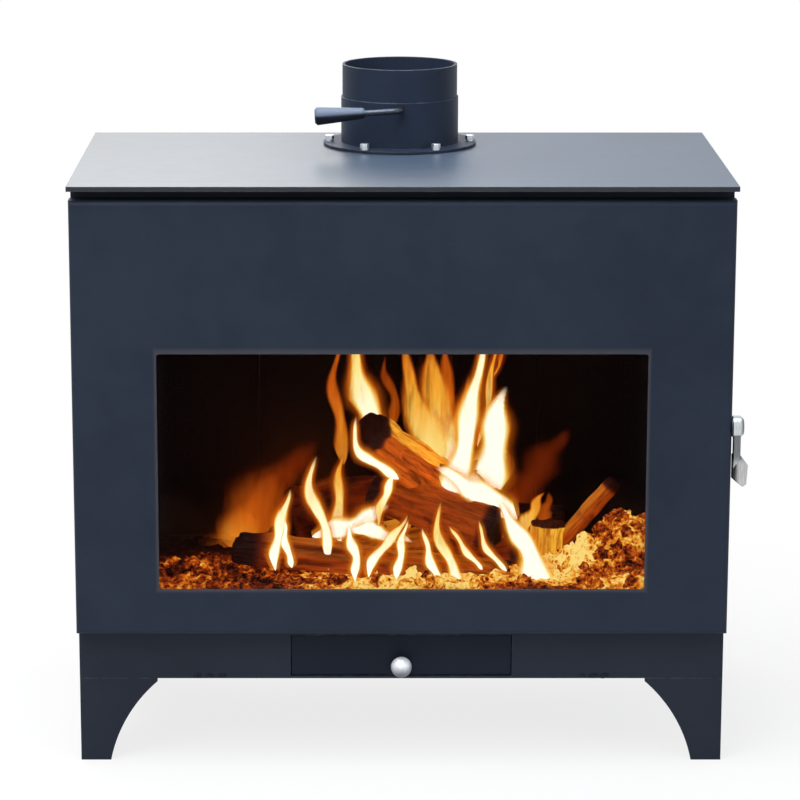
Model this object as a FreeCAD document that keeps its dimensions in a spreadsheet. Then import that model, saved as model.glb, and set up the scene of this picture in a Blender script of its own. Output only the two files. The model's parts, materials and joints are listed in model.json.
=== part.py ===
import FreeCAD, Part
import math
import os
from types import SimpleNamespace

import Sketcher
from FreeCAD import Placement, Rotation, Vector

# Steel wood stove: a welded shell on a plinth and four folded legs. A glazed door hangs on its
# left edge and closes with a latch on its right edge, an ash drawer slides out of the plinth,
# and a flanged flue collar with a damper stands on the top plate.
# +X is the right side seen from the front, -Y the front, +Z up. The origin is on the floor
# under the middle of the top plate.

# Driving sizes in millimetres, angles in degrees: name, value, what it measures
SIZES = [
    ("plate_width", 800, "top plate, left to right"),
    ("plate_depth", 450, "top plate, front to back"),
    ("plate_sheet", 6, "top plate thickness"),
    ("side_overhang", 2.5, "top plate past the side panels"),
    ("rear_overhang", 10, "top plate past the rear panel"),
    ("shell_height", 550, "hearth plate to top plate"),
    ("shell_sheet", 4, "side, rear and front frame thickness"),
    ("hearth_sheet", 4, "hearth plate thickness"),
    ("plinth_height", 60, "plinth walls"),
    ("plinth_sheet", 3, "plinth wall and floor thickness"),
    ("leg_height", 106, "floor to plinth"),
    ("leg_width", 96, "leg at its top"),
    ("foot_width", 37, "leg at the floor"),
    ("leg_lip", 4, "straight edge over the hollow curve of a leg"),
    ("leg_curve", 185, "radius of the hollow curve"),
    ("leg_sheet", 4, "leg thickness"),
    ("leg_shelf", 88, "reach of the leg's bolting shelf"),
    ("leg_bolt_near", 30, "leg bolt from the nearer outer face"),
    ("leg_bolt_far", 64, "leg bolt from the other outer face"),
    ("door_setback", 5, "door face behind the front of the top plate"),
    ("door_depth", 25, "door pan, front to back"),
    ("door_sheet", 4, "door pan thickness"),
    ("door_bend", 6, "outside radius of the door's bent edges"),
    ("door_gap", 4, "door pan to front frame"),
    ("door_top_gap", 12, "door to top plate"),
    ("door_bottom_gap", 1, "door over the hearth plate's level"),
    ("door_overlap", 1, "door past the side panels"),
    ("window_side", 102.5, "door edge to window, left and right"),
    ("window_sill", 57, "door edge to window, below"),
    ("window_head", 186, "door edge to window, above"),
    ("window_corner", 4, "corner radius of the window"),
    ("glass_lap", 10, "glass past the window's edge"),
    ("glass_sheet", 4, "glass thickness"),
    ("tape_sheet", 2, "sealing tape thickness"),
    ("tape_reveal", 1, "sealing tape back from the window's edge"),
    ("bar_sheet", 3, "glass bar thickness"),
    ("bar_lap", 7, "glass bar over the glass"),
    ("bar_reach", 10, "glass bar past the glass"),
    ("stud_radius", 2.5, "glass stud"),
    ("stud_offset", 5, "glass stud from the glass edge"),
    ("stud_inset", 61, "outer glass stud from the end of its bar"),
    ("stud_end", 2, "glass stud past its nut"),
    ("stud_nut_across", 8, "glass nut across flats"),
    ("stud_nut_height", 4, "glass nut"),
    ("rope_radius", 5, "rope seal"),
    ("rope_inset", 40, "rope line from the door's side edges"),
    ("rope_sill", 5, "rope channel over the door's bottom return"),
    ("rope_head", 38, "rope line over the window"),
    ("rope_bend", 20, "rope line's corner radius"),
    ("seal_gap", 0.3, "rope to its channel and to the sealing lip"),
    ("channel_sheet", 2, "rope channel thickness"),
    ("channel_height", 11, "rope channel, front to back"),
    ("lip_sheet", 4, "sealing lip thickness"),
    ("running_gap", 0.05, "radial clearance of pins and shafts"),
    ("hinge_inset", 6, "hinge axis from the door's left and rear edges"),
    ("hinge_height", 32, "both knuckles of a hinge"),
    ("hinge_low", 26, "middle of the lower hinge over the door's bottom"),
    ("hinge_high", 57, "middle of the upper hinge under the door's top"),
    ("hinge_notch", 2, "notch in the door's edge around a hinge"),
    ("barrel_radius", 6, "hinge knuckle"),
    ("hinge_pin_radius", 3, "hinge pin"),
    ("leaf_width", 8, "hinge leaf"),
    ("latch_up", 259, "latch axis over the door's bottom"),
    ("latch_back", 12, "latch axis behind the door's face"),
    ("shaft_radius", 5, "latch shaft"),
    ("thread_radius", 4, "threaded end of the latch shaft"),
    ("bush_wall", 3, "latch bush wall"),
    ("bush_inside", 3, "latch bush past the door's inside"),
    ("bush_flange", 1.5, "latch bush flange thickness"),
    ("bush_flange_radius", 12, "latch bush flange"),
    ("hook_inset", 17.5, "latch hook from the door's right edge"),
    ("hook_sheet", 5, "latch hook thickness"),
    ("hook_radius", 16, "latch hook, outside"),
    ("hook_lip", 3, "latch hook's lip"),
    ("hub_radius", 7, "latch hook's hub"),
    ("arm_start", -43, "lower side of the hook's arm, from straight back"),
    ("arm_end", -18, "upper side of the hook's arm"),
    ("lip_end", 10, "end of the hook's lip"),
    ("latch_nut_across", 13, "latch nut across flats"),
    ("latch_nut_height", 5, "latch nut"),
    ("thread_end", 1.5, "latch thread past its nut"),
    ("keeper_radius", 2.5, "keeper pin"),
    ("keeper_back", 8, "keeper pin behind the latch axis"),
    ("keeper_up", 6.2, "keeper pin over the latch axis"),
    ("keeper_gap", 3, "keeper web to latch hook"),
    ("keeper_sheet", 4, "keeper web thickness"),
    ("keeper_wall", 3.5, "keeper web around its pin"),
    ("keeper_over", 7, "keeper web over its pin"),
    ("boss_radius", 13.5, "handle boss"),
    ("boss_length", 13, "handle boss"),
    ("boss_chamfer", 4, "handle boss chamfer"),
    ("boss_gap", 0.3, "handle boss to latch bush"),
    ("boss_end", 3, "boss wall over the shaft's end"),
    ("lever_sheet", 7.8, "handle lever thickness"),
    ("lever_width", 18, "handle lever, front to back"),
    ("lever_out", 3.2, "handle lever from the door's right edge"),
    ("lever_seat", 7, "handle lever's top under the latch axis"),
    ("lever_drop", 52, "handle lever's lower end under the latch axis"),
    ("lever_taper", 15, "tapered lower end of the handle lever"),
    ("lever_tip", 2, "handle lever's lower end, front to back"),
    ("paddle_reach", 20.4, "paddle's outer edge from the door's right edge"),
    ("paddle_radius", 22, "paddle's curve"),
    ("paddle_sheet", 3, "paddle thickness"),
    ("paddle_angle", 60, "paddle's sweep"),
    ("paddle_front", 9, "paddle's face in front of the latch axis"),
    ("paddle_neck", 34, "paddle's upper end under the latch axis, at the lever"),
    ("paddle_top", 46, "paddle's outer upper corner under the latch axis"),
    ("paddle_bottom", 73.6, "paddle's tip under the latch axis"),
    ("paddle_tip_inset", 5.8, "paddle's tip from its outer edge"),
    ("paddle_slant", 1.4, "paddle's outer lower corner from its outer edge"),
    ("paddle_corner_rise", 4, "paddle's outer lower corner over its tip"),
    ("paddle_heel_rise", 10.9, "paddle's inner lower corner over its tip"),
    ("paddle_rounding", 2, "corner radius of the paddle"),
    ("drawer_width", 271, "ash drawer front"),
    ("drawer_gap", 1, "ash drawer front in its opening"),
    ("drawer_head", 4, "apron over the drawer opening"),
    ("drawer_recess", 2, "drawer front behind the apron's face"),
    ("drawer_sheet", 3, "drawer front thickness"),
    ("tray_sheet", 2, "ash tray thickness"),
    ("tray_length", 352, "ash tray, front to back"),
    ("tray_inset", 5, "ash tray from the drawer front's ends"),
    ("tray_height", 45, "ash tray"),
    ("runner_height", 3, "runner under the ash tray"),
    ("runner_width", 16, "runner under the ash tray"),
    ("runner_guide", 14, "runner's guide wall"),
    ("runner_gap", 1, "guide wall to ash tray"),
    ("knob_radius", 12.75, "drawer knob's ball"),
    ("knob_neck", 4, "drawer front to the knob's ball"),
    ("knob_stem", 5, "knob's stem radius"),
    ("knob_up", 19, "knob over the plinth's lower edge"),
    ("screw_radius", 2.5, "knob screw"),
    ("screw_depth", 14, "knob screw inside the knob"),
    ("screw_head", 4.5, "knob screw head radius"),
    ("screw_head_height", 3, "knob screw head"),
    ("ash_width", 240, "ash opening in the hearth plate"),
    ("ash_depth", 170, "ash opening, front to back"),
    ("grate_lap", 15, "grate past the ash opening"),
    ("slot_width", 8, "grate slot"),
    ("slot_pitch", 19, "grate slots, middle to middle"),
    ("brick_sheet", 25, "wall brick thickness"),
    ("brick_height", 350, "wall brick"),
    ("floor_brick", 18, "floor brick thickness"),
    ("brick_joint", 1, "joint between bricks"),
    ("strip_sheet", 3, "brick retainer thickness"),
    ("strip_drop", 15, "brick retainer down the brick's face"),
    ("baffle_up", 390, "baffle over the hearth plate"),
    ("baffle_sheet", 6, "baffle thickness"),
    ("baffle_gap", 90, "smoke gap in front of the baffle"),
    ("baffle_side", 2, "baffle to side panels"),
    ("rail_size", 12, "baffle rail, square"),
    ("flue_setback", 103, "flue axis from the rear of the top plate"),
    ("flange_radius", 98, "collar flange"),
    ("flange_sheet", 3, "collar flange thickness"),
    ("gasket_sheet", 1, "collar gasket thickness"),
    ("gasket_wall", 20, "collar gasket width"),
    ("collar_radius", 75.2, "collar, lower part"),
    ("spigot_radius", 73.6, "flue spigot"),
    ("collar_wall", 3.2, "collar and spigot wall"),
    ("collar_height", 58.3, "flange to step"),
    ("spigot_height", 41.8, "step to rim"),
    ("bolt_circle_radius", 90, "collar's bolt circle"),
    ("bolt_radius", 3, "collar bolt"),
    ("bolt_hole", 3.3, "collar bolt hole radius"),
    ("bolt_across", 10, "collar bolt head and nut across flats"),
    ("bolt_head", 5.5, "collar bolt head"),
    ("bolt_nut", 5, "collar nut"),
    ("bolt_end", 2, "collar bolt past its nut"),
    ("washer_radius", 4.8, "collar washer"),
    ("washer_sheet", 2.2, "collar washer thickness"),
    ("leg_bolt_radius", 4, "leg bolt"),
    ("leg_bolt_hole", 4.5, "leg bolt hole radius"),
    ("leg_bolt_across", 13, "leg bolt head and nut across flats"),
    ("leg_bolt_head", 5.3, "leg bolt head"),
    ("leg_bolt_nut", 6.5, "leg nut"),
    ("leg_bolt_end", 2, "leg bolt past its nut"),
    ("damper_up", 51.6, "damper axis over the collar's flange"),
    ("damper_gap", 3, "damper plate to collar bore"),
    ("damper_sheet", 2.5, "damper plate thickness"),
    ("spindle_radius", 4, "damper spindle"),
    ("spindle_flat", 2.5, "spindle's flat over its axis"),
    ("spindle_end", 6, "spindle past the collar at the rear"),
    ("spindle_bend", 12, "bend of the spindle"),
    ("crank_out", 20, "crank rod in front of the collar"),
    ("crank_length", 82, "crank rod's end from the spindle axis"),
    ("crank_droop", 3.5, "slope of the crank rod, down to the left"),
    ("grip_start", 45, "grip's thin end from the spindle axis"),
    ("grip_length", 63, "grip"),
    ("grip_thin", 7, "grip radius at its thin end"),
    ("grip_thick", 11.5, "grip radius at its thick end"),
    ("grip_chamfer", 3, "grip's rounded ends"),
    ("damper_screw", 2, "damper screw radius"),
    ("damper_screw_head", 3.8, "damper screw head radius"),
    ("damper_screw_top", 2, "damper screw head"),
    ("damper_screw_place", 38, "damper screw from the flue axis"),
    ("clip_radius", 8, "spindle clip"),
    ("clip_sheet", 1.5, "spindle clip thickness"),
    ("clip_gap", 0.5, "spindle clip to collar"),
]

# Cutting shapes pass the faces they open by this much
OVERCUT = 2.0
# Bricks in each row, grate slots, and bolts of each kind
SIDE_BRICKS = 2
REAR_BRICKS = 4
GRATE_SLOTS = 12
COLLAR_BOLTS = 6
BAR_STUDS = 4
PARTS_FOLDER = "parts"

doc = FreeCAD.newDocument("wood_stove")
sheet = doc.addObject("Spreadsheet::Sheet", "Sizes")
pieces = []


class Size:
    """A number, and the formula over the sheet's cells that gives it."""

    def __init__(self, number, text):
        self.number = number
        self.text = text

    def __add__(self, other):
        other = size(other)
        return Size(self.number + other.number, f"({self.text} + {other.text})")

    def __sub__(self, other):
        other = size(other)
        return Size(self.number - other.number, f"({self.text} - {other.text})")

    def __mul__(self, other):
        other = size(other)
        return Size(self.number * other.number, f"({self.text} * {other.text})")

    def __truediv__(self, other):
        other = size(other)
        return Size(self.number / other.number, f"({self.text} / {other.text})")

    def __neg__(self):
        return Size(-self.number, f"(0 - {self.text})")

    def __radd__(self, other):
        return size(other) + self

    def __rmul__(self, other):
        return size(other) * self


def size(thing):
    """A plain number as a size."""
    return thing if isinstance(thing, Size) else Size(thing, repr(thing))


def root(square):
    """The square root of a size."""
    return Size(math.sqrt(square.number), f"sqrt({square.text})")


def fill_sheet():
    """Writes the driving sizes to the sheet and gives them back by name."""
    cells = {}
    for row, (name, number, note) in enumerate(SIZES, start=1):
        sheet.set(f"A{row}", name)
        sheet.set(f"B{row}", str(number))
        sheet.set(f"C{row}", note)
        sheet.setAlias(f"B{row}", name)
        cells[name] = Size(number, f"Sizes.{name}")
    doc.recompute()
    return SimpleNamespace(**cells)


s = fill_sheet()

ALONG = {
    "x": Rotation(Vector(0, 1, 0), 90),
    "y": Rotation(Vector(1, 0, 0), -90),
    "z": Rotation(),
}


def spun(angle):
    """A turn about an object's own upright axis."""
    return Rotation(Vector(0, 0, 1), angle)


def bind(item, **sizes):
    """Ties properties of an object to formulas."""
    for name, formula in sizes.items():
        item.setExpression(name, size(formula).text)


def place(item, x=0, y=0, z=0, turn=Rotation()):
    """Turns an object and ties its place to formulas."""
    item.Placement = Placement(Vector(), turn)
    for axis, where in zip("xyz", (x, y, z)):
        item.setExpression(f"Placement.Base.{axis}", size(where).text)
    return item


def keep(item):
    """Counts an object among the stove's pieces."""
    pieces.append(item)
    return item


def both(half):
    """A span with its middle at zero."""
    return (-half, half)


def block(name, x, y, z):
    """A box between low and high planes along each axis."""
    item = doc.addObject("Part::Box", name)
    for side, (low, high) in zip(("Length", "Width", "Height"), (x, y, z)):
        item.setExpression(side, (high - low).text)
    return place(item, x[0], y[0], z[0])


def rod(name, axis, radius, span, turn=0, **at):
    """A round bar along an axis, from low to high, at the two other coordinates."""
    item = doc.addObject("Part::Cylinder", name)
    bind(item, Radius=radius, Height=span[1] - span[0])
    at[axis] = span[0]
    return place(item, turn=ALONG[axis] * spun(turn), **at)


def wedge(name, axis, radius, span, start, sweep, **at):
    """A sector of a round bar, from a start angle over a sweep."""
    item = rod(name, axis, radius, span, turn=start, **at)
    bind(item, Angle=sweep)
    return item


def hexagon(name, axis, across, span, **at):
    """A six-sided bar along an axis."""
    item = doc.addObject("Part::Prism", name)
    item.Polygon = 6
    bind(item, Circumradius=across / (2 * math.cos(math.radians(30))), Height=span[1] - span[0])
    at[axis] = span[0]
    return place(item, turn=ALONG[axis], **at)


def quarter_bend(name, axis, bend, radius, start, **at):
    """A quarter of a round bar's bend about an axis."""
    item = doc.addObject("Part::Torus", name)
    bind(item, Radius1=bend, Radius2=radius, Angle3=90)
    return place(item, turn=ALONG[axis] * spun(start), **at)


def fuse(name, *items):
    """Several shapes made one."""
    item = doc.addObject("Part::MultiFuse", name)
    item.Shapes = list(items)
    return item


def cut(name, base, *tools):
    """A shape with others taken out of it."""
    item = doc.addObject("Part::Cut", name)
    item.Base = base
    item.Tool = tools[0] if len(tools) == 1 else fuse(f"{name}_tools", *tools)
    return item


def common(name, first, second):
    """What two shapes share."""
    item = doc.addObject("Part::Common", name)
    item.Base = first
    item.Tool = second
    return item


def group(name, items):
    """Separate solids of one kind, kept as one piece."""
    item = doc.addObject("Part::Compound", name)
    item.Links = list(items)
    return item


def rounded(name, item, radius, chosen):
    """A shape with the edges that are chosen rounded."""
    doc.recompute()
    rounding = doc.addObject("Part::Fillet", name)
    rounding.Base = item
    edges = enumerate(item.Shape.Edges, start=1)
    rounding.Edges = [(number, radius.number, radius.number) for number, edge in edges if chosen(edge)]
    return rounding


def runs_front_to_back(edge):
    """Whether an edge lies along Y."""
    ends = [vertex.Point for vertex in edge.Vertexes]
    return abs((ends[1] - ends[0]).normalize().y) > 0.99


def rounded_block(name, x, y, z, radius):
    """A box with its four front-to-back edges rounded."""
    return rounded(name, block(f"{name}_block", x, y, z), radius, runs_front_to_back)


def outline(body, plane, name, points):
    """A closed sketch of straight lines on one of a body's planes, every corner dimensioned."""
    sketch = body.newObject("Sketcher::SketchObject", name)
    support = next(item for item in body.Origin.OriginFeatures if item.Role == plane)
    sketch.AttachmentSupport = (support, "")
    sketch.MapMode = "FlatFace"
    corners = [Vector(size(across).number, size(up).number, 0) for across, up in points]
    count = len(corners)
    for number in range(count):
        sketch.addGeometry(Part.LineSegment(corners[number], corners[(number + 1) % count]))
    for number in range(count):
        sketch.addConstraint(Sketcher.Constraint("Coincident", number, 2, (number + 1) % count, 1))
    for number, corner in enumerate(points):
        for kind, where in zip(("DistanceX", "DistanceY"), corner):
            constraint = Sketcher.Constraint(kind, -1, 1, number, 1, size(where).number)
            index = sketch.addConstraint(constraint)
            sketch.setExpression(f"Constraints[{index}]", size(where).text)
    return sketch


def turned(name, points, axis="z", **at):
    """A body turned about its axis from an outline of radius and height."""
    body = doc.addObject("PartDesign::Body", name)
    sketch = outline(body, "XZ_Plane", f"{name}_outline", points)
    revolved = body.newObject("PartDesign::Revolution", f"{name}_turned")
    revolved.Profile = sketch
    revolved.ReferenceAxis = (sketch, ["V_Axis"])
    revolved.Angle = 360
    return place(body, turn=ALONG[axis], **at)


def profiled(name, plane, points, depth, **at):
    """A straight bar from an outline on one of its planes."""
    body = doc.addObject("PartDesign::Body", name)
    bar = body.newObject("PartDesign::Pad", f"{name}_bar")
    bar.Profile = outline(body, plane, f"{name}_outline", points)
    bind(bar, Length=depth)
    body.Tip = bar
    return place(body, **at)


# Planes from left to right
plate_right = s.plate_width / 2
shell_right = plate_right - s.side_overhang
side_inside = shell_right - s.shell_sheet
door_right = shell_right + s.door_overlap
return_inside = door_right - s.door_sheet
window_right = door_right - s.window_side
glass_right = window_right + s.glass_lap
rope_right = door_right - s.rope_inset

# Planes from front to back
plate_front = -(s.plate_depth / 2)
plate_rear = s.plate_depth / 2
door_front = plate_front + s.door_setback
skin_back = door_front + s.door_sheet
door_rear = door_front + s.door_depth
frame_front = door_rear + s.door_gap
frame_back = frame_front + s.shell_sheet
shell_rear = plate_rear - s.rear_overhang
rear_inside = shell_rear - s.shell_sheet
glass_front = skin_back + s.tape_sheet
glass_back = glass_front + s.glass_sheet
bar_back = glass_back + s.bar_sheet
rope_middle = skin_back + s.channel_sheet + s.seal_gap + s.rope_radius
lip_front = rope_middle + s.rope_radius + s.seal_gap
apron_back = frame_front + s.plinth_sheet
plinth_rear_inside = shell_rear - s.plinth_sheet
drawer_face = frame_front + s.drawer_recess
tray_front = drawer_face + s.drawer_sheet
flue_middle = plate_rear - s.flue_setback

# Levels from the floor up
plinth_floor_top = s.leg_height + s.plinth_sheet
plinth_top = s.leg_height + s.plinth_height
hearth_top = plinth_top + s.hearth_sheet
plate_under = hearth_top + s.shell_height
plate_top = plate_under + s.plate_sheet
door_bottom = hearth_top + s.door_bottom_gap
door_top = plate_under - s.door_top_gap
window_bottom = door_bottom + s.window_sill
window_top = door_top - s.window_head
glass_bottom = window_bottom - s.glass_lap
glass_top = window_top + s.glass_lap
channel_half = s.rope_radius + s.seal_gap + s.channel_sheet
rope_bottom = door_bottom + s.door_sheet + s.rope_sill + channel_half
rope_top = window_top + s.rope_head
gasket_top = plate_top + s.gasket_sheet
flange_top = gasket_top + s.flange_sheet
damper_level = flange_top + s.damper_up

shell_across = both(shell_right)
shell_up = (hearth_top, plate_under)


def past(span):
    """A span that runs past both its ends."""
    return (span[0] - OVERCUT, span[1] + OVERCUT)


def around_rope(name, grow, y):
    """A block with rounded corners, its edge parallel to the rope line."""
    x = both(rope_right + grow)
    z = (rope_bottom - grow, rope_top + grow)
    return rounded_block(name, x, y, z, s.rope_bend + grow)


def rope_ring(name, outer, inner, y):
    """A frame along the rope line between two distances from it."""
    return cut(name, around_rope(f"{name}_outer", outer, y), around_rope(f"{name}_inner", inner, past(y)))


def bolt_places():
    """The collar bolts' places around the flue, as (x, y)."""
    for number in range(COLLAR_BOLTS):
        angle = 2 * math.pi * number / COLLAR_BOLTS
        reach = s.bolt_circle_radius
        yield reach * math.cos(angle), flue_middle + reach * math.sin(angle)


def bolt_holes(name, span):
    """Clearance holes for the collar bolts."""
    return [
        rod(f"{name}_hole", "z", s.bolt_hole, span, x=x, y=y)
        for x, y in bolt_places()
    ]


def make_top_plate():
    """Flat top with the flue hole and the collar's bolt holes."""
    upright = (plate_under, plate_top)
    blank = block("top_plate_blank", both(plate_right), (plate_front, plate_rear), upright)
    bore = rod("top_plate_bore", "z", s.collar_radius - s.collar_wall, past(upright), x=0, y=flue_middle)
    keep(cut("top_plate", blank, bore, *bolt_holes("top_plate", past(upright))))


def make_shell():
    """Front frame, sealing lip, side and rear panels and hearth plate."""
    frame_span = (frame_front, frame_back)
    half_lip = s.lip_sheet / 2
    blank = block("front_frame_blank", shell_across, frame_span, shell_up)
    opening = around_rope("front_frame_opening", -half_lip, past(frame_span))
    keep(cut("front_frame", blank, opening))
    keep(rope_ring("seal_lip", half_lip, -half_lip, (lip_front, frame_front)))
    side_span = (frame_back, rear_inside)
    keep(block("left_side_panel", (-shell_right, -side_inside), side_span, shell_up))
    keep(block("right_side_panel", (side_inside, shell_right), side_span, shell_up))
    keep(block("rear_panel", shell_across, (rear_inside, shell_rear), shell_up))
    hearth_span = (plinth_top, hearth_top)
    hearth = block("hearth_plate_blank", shell_across, (frame_front, shell_rear), hearth_span)
    ash_opening = block("hearth_plate_opening", both(s.ash_width / 2), ash_span(), past(hearth_span))
    keep(cut("hearth_plate", hearth, ash_opening))


def ash_span():
    """Front and back of the ash opening, in the middle of the firebox."""
    middle = (frame_back + rear_inside) / 2
    return (middle - s.ash_depth / 2, middle + s.ash_depth / 2)


def make_plinth():
    """Box under the firebox, with the drawer opening in its front."""
    upright = (s.leg_height, plinth_top)
    blank = block("plinth_apron_blank", shell_across, (frame_front, apron_back), upright)
    opening = block(
        "plinth_apron_opening",
        both(s.drawer_width / 2 + s.drawer_gap),
        past((frame_front, apron_back)),
        (plinth_floor_top, plinth_top - s.drawer_head),
    )
    keep(cut("plinth_apron", blank, opening))
    inside = shell_right - s.plinth_sheet
    depth = (apron_back, plinth_rear_inside)
    keep(block("plinth_left_side", (-shell_right, -inside), depth, upright))
    keep(block("plinth_right_side", (inside, shell_right), depth, upright))
    keep(block("plinth_rear", shell_across, (plinth_rear_inside, shell_rear), upright))
    floor_span = (s.leg_height, plinth_floor_top)
    floor = block("plinth_floor_blank", both(inside), depth, floor_span)
    holes = [
        rod("plinth_floor_hole", "z", s.leg_bolt_hole, past(floor_span), x=x, y=y)
        for x, y in leg_bolt_places()
    ]
    keep(cut("plinth_floor", floor, *holes))


LEGS = {
    "front_left_leg": (-1, 1),
    "front_right_leg": (1, 1),
    "rear_left_leg": (-1, -1),
    "rear_right_leg": (1, -1),
}


def from_side(side, inset):
    """A plane at an inset from the left (-1) or right (1) side of the shell."""
    return (shell_right - inset) * side


def from_end(end, inset):
    """A plane at an inset from the front (1) or rear (-1) of the shell."""
    return frame_front + inset if end > 0 else shell_rear - inset


def ordered(first, second):
    """Two planes as a span from low to high."""
    return (first, second) if first.number < second.number else (second, first)


def leg_bolts_of(side, end):
    """The two bolts of one leg, as (x, y)."""
    for across, back in ((s.leg_bolt_near, s.leg_bolt_far), (s.leg_bolt_far, s.leg_bolt_near)):
        yield from_side(side, across), from_end(end, back)


def leg_bolt_places():
    """All leg bolts, as (x, y)."""
    for side, end in LEGS.values():
        yield from leg_bolts_of(side, end)


def make_leg(name, side, end):
    """Folded leg: two flanges with a hollow-curved edge and a shelf that is bolted on."""
    drop = s.leg_height - s.leg_lip
    run = s.leg_width - s.foot_width
    chord = root(run * run + drop * drop)
    rise = root(s.leg_curve * s.leg_curve - chord * chord / 4)
    curve_in = (s.leg_width + s.foot_width) / 2 + rise * drop / chord
    curve_up = drop / 2 - rise * run / chord
    upright = (size(0), s.leg_height)
    across = ordered(from_side(side, size(0)), from_side(side, s.leg_width))
    across_sheet = ordered(from_side(side, size(0)), from_side(side, s.leg_sheet))
    back = ordered(from_end(end, size(0)), from_end(end, s.leg_width))
    back_sheet = ordered(from_end(end, size(0)), from_end(end, s.leg_sheet))
    wide_curve = rod(
        f"{name}_wide_curve", "y", s.leg_curve, past(back_sheet), x=from_side(side, curve_in), z=curve_up
    )
    deep_curve = rod(
        f"{name}_deep_curve", "x", s.leg_curve, past(across_sheet), y=from_end(end, curve_in), z=curve_up
    )
    wide = cut(f"{name}_wide", block(f"{name}_wide_blank", across, back_sheet, upright), wide_curve)
    deep = cut(f"{name}_deep", block(f"{name}_deep_blank", across_sheet, back, upright), deep_curve)
    shelf = block(
        f"{name}_shelf",
        ordered(from_side(side, size(0)), from_side(side, s.leg_shelf)),
        ordered(from_end(end, size(0)), from_end(end, s.leg_shelf)),
        (s.leg_height - s.leg_sheet, s.leg_height),
    )
    holes = [
        rod(f"{name}_hole", "z", s.leg_bolt_hole, past(upright), x=x, y=y)
        for x, y in leg_bolts_of(side, end)
    ]
    keep(cut(name, fuse(f"{name}_folded", wide, deep, shelf), *holes))


def make_bolts(name, places, head, shank_end, radius, across, head_height):
    """Hexagon bolts whose heads sit on a level and whose ends reach another."""
    up = head.number > shank_end.number
    head_span = (head, head + head_height) if up else (head - head_height, head)
    bolts = []
    for x, y in places:
        cap = hexagon(f"{name}_head", "z", across, head_span, x=x, y=y)
        shank = rod(f"{name}_shank", "z", radius, ordered(head, shank_end), x=x, y=y)
        bolts.append(fuse(f"{name}_bolt", cap, shank))
    keep(group(name, bolts))


def make_nuts(name, places, span, radius, across):
    """Hexagon nuts between two levels."""
    nuts = []
    for x, y in places:
        blank = hexagon(f"{name}_blank", "z", across, span, x=x, y=y)
        bore = rod(f"{name}_bore", "z", radius + s.running_gap, past(span), x=x, y=y)
        nuts.append(cut(f"{name}_nut", blank, bore))
    keep(group(name, nuts))


def make_legs():
    """Four legs with their bolts and nuts."""
    for name, (side, end) in LEGS.items():
        make_leg(name, side, end)
    nut_span = (plinth_floor_top, plinth_floor_top + s.leg_bolt_nut)
    shelf_under = s.leg_height - s.leg_sheet
    make_bolts(
        "leg_bolts",
        leg_bolt_places(),
        shelf_under,
        nut_span[1] + s.leg_bolt_end,
        s.leg_bolt_radius,
        s.leg_bolt_across,
        s.leg_bolt_head,
    )
    make_nuts("leg_nuts", leg_bolt_places(), nut_span, s.leg_bolt_radius, s.leg_bolt_across)


def make_grate():
    """Slotted grate that lies over the ash opening."""
    front, back = ash_span()
    half = s.ash_width / 2 + s.grate_lap
    upright = (hearth_top, hearth_top + s.floor_brick)
    blank = block("grate_blank", both(half), (front - s.grate_lap, back + s.grate_lap), upright)
    slots = []
    for number in range(GRATE_SLOTS):
        middle = s.slot_pitch * (number - (GRATE_SLOTS - 1) / 2)
        across = (middle - s.slot_width / 2, middle + s.slot_width / 2)
        slots.append(block("grate_slot", across, (front, back), past(upright)))
    keep(cut("grate", blank, *slots))


def split(span, count):
    """Equal stretches of a span with a joint between them."""
    step = (span[1] - span[0] + s.brick_joint) / count
    for number in range(count):
        low = span[0] + step * number
        yield (low, low + step - s.brick_joint)


def make_bricks():
    """Fire bricks on the floor and the three walls, and the strips that hold the walls' tops."""
    row_front = frame_back + s.brick_joint
    side_face = side_inside - s.brick_sheet
    rear_face = rear_inside - s.brick_sheet
    brick_top = hearth_top + s.brick_height
    wall_up = (hearth_top, brick_top)
    for name, across in (
        ("left_bricks", (-side_inside, -side_face)),
        ("right_bricks", (side_face, side_inside)),
    ):
        rows = split((row_front, rear_inside), SIDE_BRICKS)
        keep(group(name, [block(f"{name}_brick", across, row, wall_up) for row in rows]))
    rows = split(both(side_face), REAR_BRICKS)
    rear = (rear_face, rear_inside)
    keep(group("rear_bricks", [block("rear_bricks_brick", row, rear, wall_up) for row in rows]))
    front, back = ash_span()
    half = s.ash_width / 2 + s.grate_lap
    floor_up = (hearth_top, hearth_top + s.floor_brick)
    beside = half + s.brick_joint
    depth = (row_front, rear_face)
    floor = [
        block("floor_bricks_left", (-side_face, -beside), depth, floor_up),
        block("floor_bricks_right", (beside, side_face), depth, floor_up),
        block("floor_bricks_front", both(half), (row_front, front - s.grate_lap - s.brick_joint), floor_up),
        block("floor_bricks_rear", both(half), (back + s.grate_lap + s.brick_joint, rear_face), floor_up),
    ]
    keep(group("floor_bricks", floor))
    strip_side = side_face - s.strip_sheet
    strip_rear = rear_face - s.strip_sheet
    cap_up = (brick_top, brick_top + s.strip_sheet)
    hang_up = (brick_top - s.strip_drop, brick_top + s.strip_sheet)
    strip_depth = (row_front, strip_rear)
    strips = [
        fuse(
            "left_strip",
            block("left_strip_cap", (-side_inside, -strip_side), strip_depth, cap_up),
            block("left_strip_hang", (-side_face, -strip_side), strip_depth, hang_up),
        ),
        fuse(
            "right_strip",
            block("right_strip_cap", (strip_side, side_inside), strip_depth, cap_up),
            block("right_strip_hang", (strip_side, side_face), strip_depth, hang_up),
        ),
        fuse(
            "rear_strip",
            block("rear_strip_cap", both(side_face), (strip_rear, rear_inside), cap_up),
            block("rear_strip_hang", both(side_face), (strip_rear, rear_face), hang_up),
        ),
    ]
    keep(group("brick_retainers", strips))


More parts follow.
